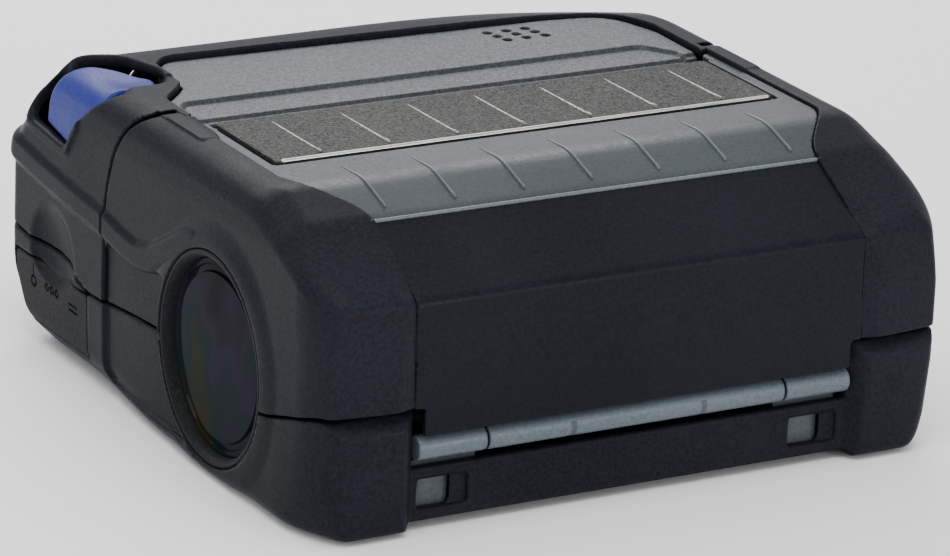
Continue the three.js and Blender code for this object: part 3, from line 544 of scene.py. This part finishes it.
def lower_case(x, y, z):
    wide = np.abs(x)
    outer = form(x, y, z)
    below_seam = z - seam_height(y) + SEAM_GAP
    thickness = WALL + 0.9 * ease(y, 28, 36)        # thicker round the sockets and the battery
    skin = meet(walled(outer, thickness), below_seam, 0.5)
    bumper_edge = BUMPER_X + 0.86 * np.maximum(HINGE_WALL_Y - y, 0)
    skin = cut(skin, meet(wide - bumper_edge, y - HINGE_WALL_Y, 0.5), 0.6)
    skin = cut(skin, np.maximum(np.maximum(wide - bumper_edge, y + 70), 14.6 - z), 0.4)
    wall = block(x, y, z, (-57.6, HINGE_WALL_Y, 2.4), (57.6, -74.2, 14.5), 0.6)
    inside = np.maximum(outer + 0.3, bumper_edge - wide)
    side_wall = np.maximum(block(wide, y, z, (50, -79.6, 2), (60, -60, 24), 0.4), inside)
    shelf = np.maximum(block(wide, y, z, (50, -90, 22), (90, -70, 90), 0.4), inside)
    closing = np.minimum(side_wall, meet(shelf, below_seam, 0.5))
    solid = join(join(skin, wall, 0.4), closing, 0.3)
    solid = meet(solid, (z - 25.3 - 0.85 * (y + 80.4)) * 0.76, 0.5)
    tab_window = block(wide, y, z, (41, -90, 5), (53, -70, 11.8), 0.5)
    front_slot = block(x, y, z, (-CENTRE_X, -90, -1), (CENTRE_X, -60, 2.3), 0.4)
    flap_seat = block(x, y, z, (-90, FLAP_LOW.y - 0.4, FLAP_LOW.z - 0.4),
                      (-HALF_WIDTH + 1.9, FLAP_HIGH.y + 0.4, FLAP_HIGH.z + 0.4), 0.8)
    sockets = block(x, y, z, (-90, FLAP_LOW.y + 3, FLAP_LOW.z + 2),
                    (-70, FLAP_HIGH.y - 3, FLAP_HIGH.z - 2), 0.4)
    battery_bay = block(x, y, z, (60, BATTERY_LOW.y - 0.4, BATTERY_LOW.z - 0.4),
                        (90, BATTERY_HIGH.y + 0.4, 40), 0.6)
    for hole in (tab_window, front_slot, flap_seat, sockets, battery_bay):
        solid = cut(solid, hole, 0.35)
    for stop_x in TAB_STOPS:
        solid = join(solid, block(x, y, z, (stop_x - 2.2, -75.4, 4.8), (stop_x + 2.2, -74.2, 12), 0.2), 0.1)
    for foot_x, foot_y in FEET:
        solid = cut(solid, np.maximum(np.hypot(x - foot_x, y - foot_y) - 5.4, z - 1.9), 0.3)
    for screw_x, screw_y in SCREWS:
        solid = cut(solid, np.maximum(np.hypot(x - screw_x, y - screw_y) - 3.4, z - 2.2), 0.3)
    return solid


# ---- rear upper case -------------------------------------------------------------------
# Outlines: the grey panel from above, the lever's hollow from above and from the side, the saddle's line.
PANEL_MAIN = [[-57.5, 9.2, 0], [66.6, 9.2, 1], [67, 30, 16], [62.5, 45.5, 12], [46, 48, 30],
              [-52.5, 50.9, 6], [-57.5, 45, 8]]
PANEL_STEP = [[-66, 9.2, 1], [0, 9.2, 0], [0, 30, 0], [-58.5, 30, 3], [-66, 22, 5]]
POCKET = [[-84, 32.5, 0], [-61, 32.5, 5], [-58.2, 40, 6], [-61.6, 51, 9], [-69.5, 58.6, 10], [-84, 66, 0]]
POCKET_SIDE = [[20, 51, 0], [67.4, 54.5, 5], [67, 61, 6], [58.6, 73, 0], [20, 73, 0]]
SADDLE = [[47.5, 52, 0], [44.3, 58, 30], [40.5, 62, 30], [32.5, 68.4, 30], [20, 76, 0]]
SLANT_Y, SLANT_Z = 70.2, 58.4  # middle of the sloping control face


def slanted(y, z):
    """Coordinates along and out of the sloping control face."""
    along = (y - SLANT_Y) * math.sqrt(0.5) - (z - SLANT_Z) * math.sqrt(0.5)
    out = (y - SLANT_Y) * math.sqrt(0.5) + (z - SLANT_Z) * math.sqrt(0.5)
    return along, out


def lever_pocket(x, y, z):
    """The hollow that the blue lever shows through, behind a black saddle."""
    from_top = meet(profile(x, y, POCKET), 61.5 - z, 2)
    from_side = meet(profile(y, z, POCKET_SIDE), x + 71.0, 1.5)
    return smooth_max(smooth_min(from_top, from_side, 1.5), -profile(y, z, SADDLE, False), 1.6)


def panel_outline(x, y):
    """The grey top panel from above, with a step on the lever's side."""
    main = profile(x, y, PANEL_MAIN)
    return smooth_min(main, profile(x, y, PANEL_STEP), 3)


def rear_case(x, y, z):
    outer = form(x, y, z)
    pocket = lever_pocket(x, y, z)
    rim = np.maximum(np.maximum(pocket - 1.7, outer - 0.55), 36.5 - y - 0.25 * (x + 59))
    outer = smooth_min(outer, np.maximum(rim, z - HIGH[2] + 0.2), 1.4)
    solid = meet(walled(outer), seam_height(y) + SEAM_GAP - z, 0.4)
    solid = meet(solid, SEAM_GAP - cover_edge(x, y, z), 0.4)
    solid = cut(solid, pocket, 0.95)
    along, out = slanted(y, z)
    panel_seat = np.maximum(panel_outline(x, y), 60 - z)
    control_seat = np.maximum(block(x, along, out, (-54, -9.4, -8), (54, 9.4, 8), 1.5), 40 - z)
    battery_bay = block(x, y, z, (60, BATTERY_LOW.y - 0.4, 0),
                        (90, BATTERY_HIGH.y + 0.4, BATTERY_HIGH.z + 0.4), 0.6)
    catch_seat = block(x, y, z, (HALF_WIDTH - 3.2, 51.4, 30.2), (90, 64.6, 39.4), 0.8)
    catch_slot = block(x, y, z, (HALF_WIDTH - 2.3, 53.4, 28), (HALF_WIDTH - 0.8, 62.6, 31), 0.2)
    paper_slot = np.maximum(np.maximum(np.abs(x) - 66, y - 9.4), 60 - z)
    for hole in (panel_seat, control_seat, battery_bay, catch_seat, catch_slot, paper_slot):
        solid = cut(solid, hole, 0.45)
    return solid


# ---- cover ---------------------------------------------------------------------------
def cover_side(x, y, z):
    """One black side, on +X, with a lowered strip that leads to the front panel."""
    strip = np.clip((60 - x) / (60 - CENTRE_X), 0, 1) * (1 - ease(z, 53, 60))
    solid = walled(form(x, y, z) + 1.2 * strip)
    solid = meet(solid, seam_height(y) + SEAM_GAP + 0.7 * (1 - ease(y, -80, -68)) - z, 0.45)
    solid = meet(solid, cover_edge(x, y, z) + SEAM_GAP, 0.4)
    solid = meet(solid, CENTRE_X - 0.3 - x, 0.2)
    opening = np.maximum(np.maximum(x - guide_half_width(y), PANEL_FOOT_Y - y), 55 - z)
    bump = block(x, y, z, (67.4, -9, 67.2), (72.2, SEAM_TOP_Y + 4, HIGH[2] - 0.05), 0.9)
    bump = meet(bump, (z - HIGH[2]) * 0.85 - (y + 6.6) * 0.5, 0.9)
    solid = cut(solid, opening, 0.4)
    return smooth_min(solid, np.maximum(bump, cover_edge(x, y, z) + SEAM_GAP), 0.7)


def cover_side_left(x, y, z):
    return cover_side(-x, y, z)


def cover_front_panel(x, y, z):
    solid = walled(form(x, y, z) + 0.75, WALL - 0.2)
    solid = meet(solid, np.abs(x) - CENTRE_X, 0.2)
    solid = meet(solid, 22.9 - z, 0.4)
    solid = cut(solid, block(np.abs(x), y, z, (53.7, -90, 10), (60, -70, 29.2), 0.4), 0.3)
    return cut(solid, np.maximum(PANEL_FOOT_Y - 0.1 - y, 56 - z), 0.2)


def guide_sink(y):
    """How far the grey guide panel lies below the form."""
    return 0.55 + 0.35 * ease(y, -50, -34)


def cover_guide_panel(x, y, z):
    solid = walled(form(x, y, z) + guide_sink(y), WALL - 0.3)
    solid = meet(solid, np.abs(x) - guide_half_width(y) + 0.15, 0.3)
    solid = meet(solid, np.maximum(PANEL_FOOT_Y + 0.1 - y, y - SEAM_TOP_Y + 0.5), 0.5)
    solid = np.maximum(solid, 50 - z)
    recess = meet(profile(np.abs(x), y, [[0, -28.1, 0], [64.6, -28.1, 1.5], [64.6, 3.3, 0]], False),
                  68.3 - z, 0.3)
    solid = cut(solid, recess, 0.25)
    return cut(solid, block(x, y, z, (-66, 3.4, 50), (66, 20, 90), 0.3), 0.3)


def raised_ribs(name, start, end, foot, height, width):
    """Seven slim raised ribs along Y, on the floor foot(y), as high as height(share of the length)."""
    points, faces = [], []
    rows, around = 18, 10
    for place in (number * RIB_PITCH for number in range(-3, 4)):
        first = len(points)
        for row in range(rows + 1):
            share = row / rows
            y = start + (end - start) * share
            rise = height(share)
            slim = width * (0.35 + 0.65 * min(1, rise / height(0.85)))
            for step in range(around):
                turn = 2 * math.pi * step / around
                points.append((place + slim / 2 * math.cos(turn), y,
                               foot(y) + rise * max(math.sin(turn), -0.6)))
        for row in range(rows):
            for step in range(around):
                a, b = first + row * around + step, first + row * around + (step + 1) % around
                faces.append((a, b, b + around, a + around))
        faces.append(tuple(range(first + around - 1, first - 1, -1)))
        last = first + rows * around
        faces.append(tuple(range(last, last + around)))
    return mesh_object(name, points, faces)


def lip(half_length, middle_y, middle_z, radius, r):
    """A round bead along X."""
    def field(x, y, z):
        return meet(np.abs(x) - half_length, np.hypot(y - middle_y, z - middle_z) - radius, r)
    return field


def surface_height(y, skin):
    """Height of the form's top at x = 0, `skin` below its surface."""
    low, high = 40.0, 75.0
    for _ in range(24):
        middle = (low + high) / 2
        inside = float(form(np.array(0.0), np.array(y), np.array(middle))) < -skin
        low, high = (middle, high) if inside else (low, middle)
    return low


# ---- top panel, controls and lever ------------------------------------------------------
PANEL_TOP = TOP - 1.5
SOUNDER_HOLES = [(30.4 + 5.1 * column - 0.9 * row, 36.8 + 3.3 * row)
                 for row in range(3) for column in range(3)]
KEY_X = 24                     # the two keys, on either side of the middle
LIGHT_X = (-6, 0, 6)
# The lowered part of the top panel, from above.
GROOVE = [[-64, 0, 0], [64, 0, 0], [63, 14, 6], [57.5, 21.9, 5], [-64, 21.9, 4.5]]


def top_panel(x, y, z):
    step = 1.05 * ease(-profile(x, y, GROOVE), -0.3, 1.1) + 0.85 * (1 - ease(y, 10.5, 11.7))
    plate = meet(panel_outline(x, y) + 0.35, z - PANEL_TOP + step, 0.4)
    plate = np.maximum(plate, PANEL_TOP - 2.8 - z)
    apron = block(x, y, z, (-62, 9.7, PANEL_TOP - 4.4), (62, 11.2, PANEL_TOP - 2.4), 0.3)
    solid = join(plate, apron, 0.3)
    for hole_x, hole_y in SOUNDER_HOLES:
        solid = cut(solid, np.hypot(x - hole_x, y - hole_y) - 1.1, 0.25)
    return solid


def control_panel(x, y, z):
    along, out = slanted(y, z)
    plate = block(x, along, out, (-53.6, -9, -2.4), (53.6, 9, -0.7), 0.5)
    for key_x in (-KEY_X, KEY_X):
        well = np.hypot(x - key_x, along)
        plate = cut(plate, np.maximum(well - 8.2, -1.2 - out), 0.5)
        plate = cut(plate, well - 5.4, 0.3)
    for light_x in LIGHT_X:
        plate = cut(plate, block(x, along, out, (light_x - 1.5, -1, -9), (light_x + 1.5, 1, 9), 0.3), 0.2)
    return plate


def key(center_x, symbol):
    """A round, slightly dished key with a raised symbol."""
    def field(x, y, z):
        along, out = slanted(y, z)
        reach = np.hypot(x - center_x, along)
        stem = meet(reach - 5, meet(out - 0.5, -2.8 - out, 0.3), 0.9)
        flange = meet(reach - 6.2, meet(out + 2.65, -4 - out, 0.2), 0.3)
        dished = cut(join(stem, flange, 0.2), np.hypot(reach, out - 22.35) - 22, 0.2)
        return join(dished, meet(symbol(x - center_x, along), out - 0.6, 0.15), 0.1)
    return field


def feed_symbol(u, v):
    """A plain triangle."""
    return profile(u, v, [[-2.1, -1.2, 0.3], [2.1, -1.2, 0.3], [0, 2.1, 0.3]])


def power_symbol(u, v):
    """A ring with a gap and a stroke."""
    ring = np.maximum(np.abs(np.hypot(u, v) - 2.1) - 0.3, -np.maximum(np.abs(u) - 0.8, -v))
    stroke = np.maximum(np.abs(u) - 0.3, np.abs(v - 1.8) - 1.2)
    return np.minimum(ring, stroke)


LEVER_START = (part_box("release_lever")[0] / MM).y
# The lever's cap from above and from the side, and its line along the saddle.
LEVER_PLAN = [[-82, 32.8, 0], [-62, 34, 4], [-60.4, 40, 5], [-64.4, 48, 12], [-71, 54, 8], [-82, 63, 0]]
LEVER_SIDE = [[33, 50, 0], [61.6, 55.4, 1.5], [61.4, 60, 6], [58.4, 66, 8], [53.6, 70, 6], [33, 70, 0]]
LEVER_UNDER = [[47, 51.5, 0], [43.6, 58, 20], [39.8, 62, 20], [33.6, 66.6, 20], [20, 75, 0]]


def release_lever(x, y, z):
    """The blue thumb lever, with a dip for the thumb, and its link to the hooks inside the case."""
    cap = meet(profile(x, y, LEVER_PLAN), profile(y, z, LEVER_SIDE), 1.2)
    cap = meet(cap, form(x, y, z) + 0.7, 1.4)
    dip = np.sqrt(((x + 67) / 8) ** 2 + ((y - 41) / 9) ** 2 + ((z - 73) / 4.6) ** 2) - 1
    cap = cut(cap, dip * 4, 2)
    cap = meet(cap, 0.2 - profile(y, z, LEVER_UNDER, False), 0.4)
    link = block(x, y, z, (-72.4, LEVER_START, 57), (-70.6, 44, 60.6), 0.3)
    riser = block(x, y, z, (-72.4, 40, 57), (-70.6, 44, 64), 0.3)
    return join(join(cap, link, 0.2), riser, 0.3)


# ---- tear bar, lens, flap, battery and trim ----------------------------------------------
TEAR_TOP = 69.75               # upper face of the tear bar


def tear_bar(x, y, z):
    outline = profile(x, y, [[-63.6, -27.4, 1.5], [63.6, -27.4, 1.5], [63.6, 3, 1.5], [-63.6, 3, 1.5]])
    return meet(outline, meet(z - TEAR_TOP, 68.5 - z, 0.2), 0.35)


def lathe(name, outline, side):
    """A ring turned about the window's axis from [radius, x] points, mirrored by side."""
    around = 160
    points, faces = [], []
    for step in range(around):
        turn = 2 * math.pi * step / around
        for radius, x in outline:
            points.append((side * x, WINDOW_Y + radius * math.cos(turn), WINDOW_Z + radius * math.sin(turn)))
    count = len(outline)
    for step in range(around):
        here, there = step * count, (step + 1) % around * count
        for index in range(count):
            after = (index + 1) % count
            face = (here + index, there + index, there + after, here + after)
            faces.append(face if side > 0 else face[::-1])
    made = mesh_object(name, points, faces)
    made.data.set_sharp_from_angle(angle=math.radians(32))
    return made


# Half sections of the window and its ring as [radius, x]. The window has a stepped edge and a low crown.
LENS_FACE = HALF_WIDTH - 0.9
LENS_BACK = HALF_WIDTH - 5.2
LENS_PROFILE = [[0.02, LENS_BACK], [23.6, LENS_BACK], [23.6, LENS_FACE - 1.6], [22.1, LENS_FACE - 1.5],
                [21.9, LENS_FACE - 0.9], [20.8, LENS_FACE - 0.8], [20.5, LENS_FACE - 1.4],
                [19.2, LENS_FACE - 1.3], [18.9, LENS_FACE - 0.55], [16, LENS_FACE - 0.4],
                [12, LENS_FACE - 0.22], [6, LENS_FACE - 0.06], [0.02, LENS_FACE]]
BEZEL_PROFILE = [[BEZEL_R - 2.0, LENS_FACE - 1.4], [BEZEL_R - 1.75, HALF_WIDTH - 0.6],
                 [BEZEL_R - 1.3, HALF_WIDTH + 0.3], [BEZEL_R - 0.85, HALF_WIDTH + 0.75],
                 [BEZEL_R - 0.35, HALF_WIDTH + 0.8], [BEZEL_R, HALF_WIDTH + 0.5], [BEZEL_R, LENS_FACE - 1.4]]


def connector_flap(x, y, z):
    """Soft cover over the sockets, with plain pictures of a plug, a cable and a current sign."""
    outline = profile(y, z, [[FLAP_LOW.y, FLAP_LOW.z, 2], [FLAP_HIGH.y, FLAP_LOW.z, 3],
                             [FLAP_HIGH.y, FLAP_HIGH.z, 2], [FLAP_LOW.y, FLAP_HIGH.z, 1.5]])
    outer = form(x, y, z) + 0.15
    skin = np.maximum(meet(outline + 0.05, outer, 0.5), -(outer + 1.3))
    skin = np.maximum(skin, x + 70)
    plug_y, plug_z = 63, 15.4
    marks = np.abs(np.hypot(y - plug_y, z - plug_z) - 1.2) - 0.22
    marks = np.minimum(marks, np.maximum(np.abs(y - plug_y) - 0.22, np.abs(z - plug_z - 2.8) - 1.6))
    for ring_y in (50.6, 53.2, 55.8):
        marks = np.minimum(marks, np.abs(np.hypot(y - ring_y, z - 16.1) - 0.8) - 0.2)
    for line_z in (14.6, 16.0):
        marks = np.minimum(marks, np.maximum(np.abs(y - 41.8) - 2.2, np.abs(z - line_z) - 0.22))
    return cut(skin, np.maximum(marks, -(outer + 0.5)), 0.1)


def battery_pack(x, y, z):
    """The battery: a plain cell behind a lid that continues the side of the case, with grip grooves."""
    lid_back = 73.4
    cell = block(x, y, z, (BATTERY_LOW.x, BATTERY_LOW.y + 0.3, BATTERY_LOW.z + 0.3),
                 (lid_back, BATTERY_HIGH.y - 0.3, 26.4), 1.2)
    outline = profile(y, z, [[BATTERY_LOW.y, BATTERY_LOW.z, 2], [BATTERY_HIGH.y, BATTERY_LOW.z, 2],
                             [BATTERY_HIGH.y, BATTERY_HIGH.z, 1.5], [BATTERY_LOW.y, BATTERY_HIGH.z, 1.5]])
    outer = form(x, y, z) + 0.15
    lid = np.maximum(meet(outline + 0.05, outer, 0.5), lid_back - x)
    solid = join(cell, lid, 0.3)
    for groove_z in (9.5, 11.5, 13.5, 15.5):
        groove = block(x, y, z, (HALF_WIDTH - 0.9, 50, groove_z), (90, 62, groove_z + 0.9), 0.3)
        solid = cut(solid, groove, 0.25)
    return cut(solid, block(x, y, z, (HALF_WIDTH - 2.3, 53.6, 26.6), (HALF_WIDTH - 0.9, 62.4, 40), 0.2), 0.2)


def battery_latch(x, y, z):
    inner = HALF_WIDTH - 1.9
    plate = block(x, y, z, (inner, 52, 30.6), (inner + 2.1, 64, 36), 0.6)
    for ridge_z in (31.9, 33.3, 34.7):
        ridge = block(x, y, z, (inner + 1.7, 53, ridge_z - 0.35), (inner + 2.8, 63, ridge_z + 0.35), 0.3)
        plate = join(plate, ridge, 0.15)
    return join(plate, block(x, y, z, (inner, 54, 27), (inner + 0.6, 62, 31), 0.2), 0.1)


def barrel(low, high):
    """A hinge barrel with rounded ends and two shallow slots."""
    def field(x, y, z):
        reach = np.hypot(y - HINGE_Y, z - HINGE_Z)
        solid = meet(reach - HINGE_R, np.maximum(low - x, x - high), 0.45)
        for slot_x in (-16.5, 16.5):
            slot = block(x, y, z, (slot_x - 0.6, -90, 10), (slot_x + 0.6, HINGE_Y, HINGE_Z + 1.2), 0.15)
            solid = cut(solid, np.maximum(slot, HINGE_R - 1.4 - reach), 0.15)
        return solid
    return field


def rubber_foot(center_x, center_y):
    """A round foot with a ring pressed into its underside."""
    def field(x, y, z):
        reach = np.hypot(x - center_x, y - center_y)
        solid = meet(reach - 5, np.maximum(-z, z - 1.6), 0.4)
        return cut(solid, np.maximum(np.abs(reach - 3) - 0.3, z - 0.3), 0.15)
    return field


def case_screw(center_x, center_y, bottom, top):
    """A round screw head with a cross recess, seen from below."""
    def field(x, y, z):
        u, v = x - center_x, y - center_y
        head = meet(np.hypot(u, v) - 3, np.maximum(bottom - z, z - top), 0.25)
        arms = np.minimum(np.maximum(np.abs(u) - 0.4, np.abs(v) - 1.7),
                          np.maximum(np.abs(v) - 0.4, np.abs(u) - 1.7))
        return cut(head, np.maximum(arms, z - bottom - 0.5), 0.1)
    return field


# ---- the pieces ---------------------------------------------------------------------------
SPAN = 81.5                    # a little beyond the case on every side
CASE_PIECES = [                # name, field, low corner, high corner, step, body, material, slot, CAD node
    ("shell_lower", lower_case, (-SPAN, -SPAN, 0), (SPAN, SPAN, 30), 0.95,
     "base", BLACK, "case_black", "lower_case"),
    ("shell_rear", rear_case, (-SPAN, 8, 21), (SPAN, SPAN, 71.5), 0.7,
     "base", BLACK, "case_black", "rear_case"),
    ("shell_cover_right", cover_side, (55.5, -SPAN, 21), (SPAN, 26, 71.5), 0.45,
     "cover", BLACK, "case_black", "cover_side_right"),
    ("shell_cover_left", cover_side_left, (-SPAN, -SPAN, 21), (-55.5, 26, 71.5), 0.45,
     "cover", BLACK, "case_black", "cover_side_left"),
    ("front_panel", cover_front_panel, (-57, -SPAN, 22), (57, -57, 67), 0.65,
     "cover", FRONT_BLACK, "case_black", "cover_front_panel"),
    ("guide_panel", cover_guide_panel, (-69, -59, 60), (69, 9, 71), 0.6,
     "cover", GREY, "panel_grey", "cover_guide_panel"),
]
for name, field, low, high, step, body, material, slot, node in CASE_PIECES:
    finish(sculpt(name, field, low, high, step), body, material, [node])


def guide_rib_height(share):
    """A rib that fades in at its upper end and has a small knob at its lower end."""
    return 0.12 + 0.42 * math.sin(math.pi * (0.04 + 0.6 * share)) if share < 0.93 else 0.62


def plate_rib_height(share):
    return 0.12 + 0.3 * share if share < 0.94 else 0.62


# The guide ribs and the lower lip take the lighter grey as a painted highlight on their edges.
guide_ribs = raised_ribs("guide_ribs", -34.5, -54.5,
                         lambda y: surface_height(y, float(guide_sink(np.array(y)))), guide_rib_height, 0.6)
finish(guide_ribs, "cover", GREY_PAINTED_HIGHLIGHT)
edge_height = surface_height(PANEL_FOOT_Y + 0.3, 0.55)
guide_lip = sculpt("guide_lip", lip(CENTRE_X, PANEL_FOOT_Y + 0.2, edge_height - 0.4, 0.5, 0.3),
                   (-57, -59, edge_height - 1.5), (57, -57, edge_height + 0.8), 0.3)
finish(guide_lip, "cover", GREY_PAINTED_HIGHLIGHT)

finish(sculpt("tear_plate", tear_bar, (-64, -28, 68), (64, 4, 70.5), 0.45),
       "cover", PEWTER, ["tear_bar"])
# The plate's ribs take the lighter pewter as a painted highlight.
plate_ribs = raised_ribs("tear_plate_ribs", -1.4, -24.6, lambda y: TEAR_TOP - 0.03, plate_rib_height, 0.7)
finish(plate_ribs, "cover", PEWTER_RIB_HIGHLIGHT)
# The near lip takes the bright pewter as a painted highlight.
near_lip = sculpt("tear_plate_lip", lip(62.4, -27.1, TEAR_TOP - 0.15, 0.55, 0.4),
                  (-63, -28, 68.8), (63, -26, 70.4), 0.3)
finish(near_lip, "cover", PEWTER_LIP_HIGHLIGHT)

finish(sculpt("top_plate", top_panel, (-67, 9, 64), (67, 53, 70.5), 0.5),
       "base", TOP_GREY, ["top_panel"])
finish(sculpt("control_plate", control_panel, (-54, 60, 48), (54, 80, 68), 0.55),
       "base", GREY, ["control_panel"])
for name, key_x, symbol in (("feed", -KEY_X, feed_symbol), ("power", KEY_X, power_symbol)):
    finish(sculpt(f"{name}_key_cap", key(key_x, symbol), (key_x - 7, 61, 50), (key_x + 7, 77, 67), 0.32),
           f"{name}_key", KEY, [f"{name}_button"])
finish(sculpt("thumb_lever", release_lever, (-80, LEVER_START - 1, 54), (-61, 63, 71), 0.4),
       "lever", BLUE, ["release_lever"])

for side, name in ((1, "right"), (-1, "left")):
    finish(lathe(f"lens_{name}", LENS_PROFILE, side), "base", LENS, [f"window_lens_{name}"])
    finish(lathe(f"lens_ring_{name}", BEZEL_PROFILE, side), "base", RUBBER)
finish(sculpt("port_flap", connector_flap, (-SPAN, FLAP_LOW.y - 1, FLAP_LOW.z - 1),
              (-75, FLAP_HIGH.y + 1, FLAP_HIGH.z + 1), 0.3),
       "flap", RUBBER, ["connector_flap"])
finish(sculpt("battery_body", battery_pack, (BATTERY_LOW.x - 1, BATTERY_LOW.y - 1, BATTERY_LOW.z - 1),
              (SPAN, BATTERY_HIGH.y + 1, BATTERY_HIGH.z + 1), 0.6),
       "battery", BLACK, ["battery_pack"])
finish(sculpt("battery_slider", battery_latch, (76.5, 51, 26.5), (81, 65, 37), 0.3),
       "battery_catch", GREY, ["battery_latch"])

for name, low_x, high_x, body in (("barrel_left", -54.5, -37.9, "base"), ("barrel_right", 37.9, 54.5, "base"),
                                  ("barrel_middle", -37.3, 37.3, "cover")):
    finish(sculpt(name, barrel(low_x, high_x), (low_x - 1, HINGE_Y - 4, HINGE_Z - 4),
                  (high_x + 1, HINGE_Y + 4, HINGE_Z + 4), 0.33), body, HINGE_GREY)

for number, (foot_x, foot_y), (screw_x, screw_y) in zip(range(1, 5), FEET, SCREWS):
    foot = sculpt(f"foot_{number}", rubber_foot(foot_x, foot_y),
                  (foot_x - 6, foot_y - 6, -0.5), (foot_x + 6, foot_y + 6, 2), 0.3)
    finish(foot, "base", RUBBER, [f"rubber_foot_{number}"])
    low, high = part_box(f"case_screw_{number}")
    screw = sculpt(f"screw_{number}", case_screw(screw_x, screw_y, low.z / MM, high.z / MM),
                   (screw_x - 4, screw_y - 4, 0.5), (screw_x + 4, screw_y + 4, 2.5), 0.25)
    finish(screw, "base", STEEL, [f"case_screw_{number}"])

SLOT_MATERIALS = {
    "case_black": BLACK, "panel_grey": GREY, "top_grey": TOP_GREY, "pewter": PEWTER, "frame_grey": FRAME_GREY,
    "lens": LENS, "lever_blue": BLUE, "rubber_black": RUBBER, "key_black": KEY, "light_lens": LIGHT,
    "steel": STEEL, "gear_white": WHITE, "brass": BRASS, "board_green": BOARD, "ceramic": CERAMIC,
    "guide_dark": GUIDE,
}
# Latch and print head parts inside the case get dark steel as painted shade, so they stay dark where seen
# through gaps.
PAINTED_SHADE_PARTS = ("latch_", "head_bracket", "head_heatsink")
for entry in frame["record"]["subparts"]:
    node = frame["nodes"][entry["node"]]
    node.data.materials.clear()
    in_painted_shade = entry["node"].startswith(PAINTED_SHADE_PARTS)
    node.data.materials.append(SHADED_STEEL if in_painted_shade else SLOT_MATERIALS[entry["material_slot"]])


# ---- floor, light and camera ---------------------------------------------------------------
def floor():
    """A plain pale floor."""
    mesh = bpy.data.meshes.new("floor")
    reach = 6.0
    mesh.from_pydata([(-reach, -reach, 0), (reach, -reach, 0), (reach, reach, 0), (-reach, reach, 0)], [],
                     [(0, 1, 2, 3)])
    made = bpy.data.objects.new("floor", mesh)
    bpy.context.scene.collection.objects.link(made)
    paint = Paint("floor_white", 0.75, specular=0.2)
    paint.shader.inputs["Base Color"].default_value = (0.94, 0.94, 0.94, 1)
    made.data.materials.append(paint.material)


def lamp(name, place, target, size, power):
    """A soft rectangular light: lengths in metres, power in watts."""
    data = bpy.data.lights.new(name, "AREA")
    data.shape = "RECTANGLE"
    data.size, data.size_y = size
    data.energy = power
    made = bpy.data.objects.new(name, data)
    made.location = place
    made.rotation_mode = "QUATERNION"
    made.rotation_quaternion = (Vector(target) - Vector(place)).to_track_quat("-Z", "Y")
    bpy.context.scene.collection.objects.link(made)


def surroundings(brightness):
    """Even light from all round."""
    world = bpy.data.worlds.new("studio")
    world.use_nodes = True
    ground = world.node_tree.nodes["Background"]
    ground.inputs["Color"].default_value = (0.97, 0.985, 1.0, 1)
    ground.inputs["Strength"].default_value = brightness
    bpy.context.scene.world = world


def camera(azimuth, elevation, roll, distance, lens, aim):
    """A camera round the object: azimuth 0 looks along +Y. Angles in degrees, lengths in metres."""
    a, e, r = (math.radians(angle) for angle in (azimuth, elevation, roll))
    back = Vector((math.sin(a) * math.cos(e), -math.cos(a) * math.cos(e), math.sin(e)))
    right = Vector((0, 0, 1)).cross(back).normalized()
    up = back.cross(right)
    tilted_right = math.cos(r) * right + math.sin(r) * up
    tilted_up = math.cos(r) * up - math.sin(r) * right
    data = bpy.data.cameras.new("camera")
    data.lens = lens
    data.clip_start, data.clip_end = 0.05, 50
    made = bpy.data.objects.new("camera", data)
    place = Vector(aim) + back * distance
    turned = Matrix((tilted_right, tilted_up, back)).transposed().to_4x4()
    made.matrix_world = Matrix.Translation(place) @ turned
    bpy.context.scene.collection.objects.link(made)
    bpy.context.scene.camera = made


floor()
surroundings(1.0)
lamp("key", (-0.2, -0.35, 1.1), (0, 0, 0.04), (0.9, 0.7), 8)
lamp("back_strip", (0.1, 0.9, 0.75), (0, 0, 0.05), (1.2, 0.35), 10)
lamp("front_fill", (0.35, -1.1, 0.3), (0, -0.08, 0.03), (0.5, 0.4), 3)
lamp("left_strip", (-0.9, -0.5, 0.7), (-0.05, -0.03, 0.04), (0.15, 0.6), 0.5)
camera(-30.0, 19.17, 2.38, 1.262, 207.75, (0.0058, 0.0049, 0.0233))
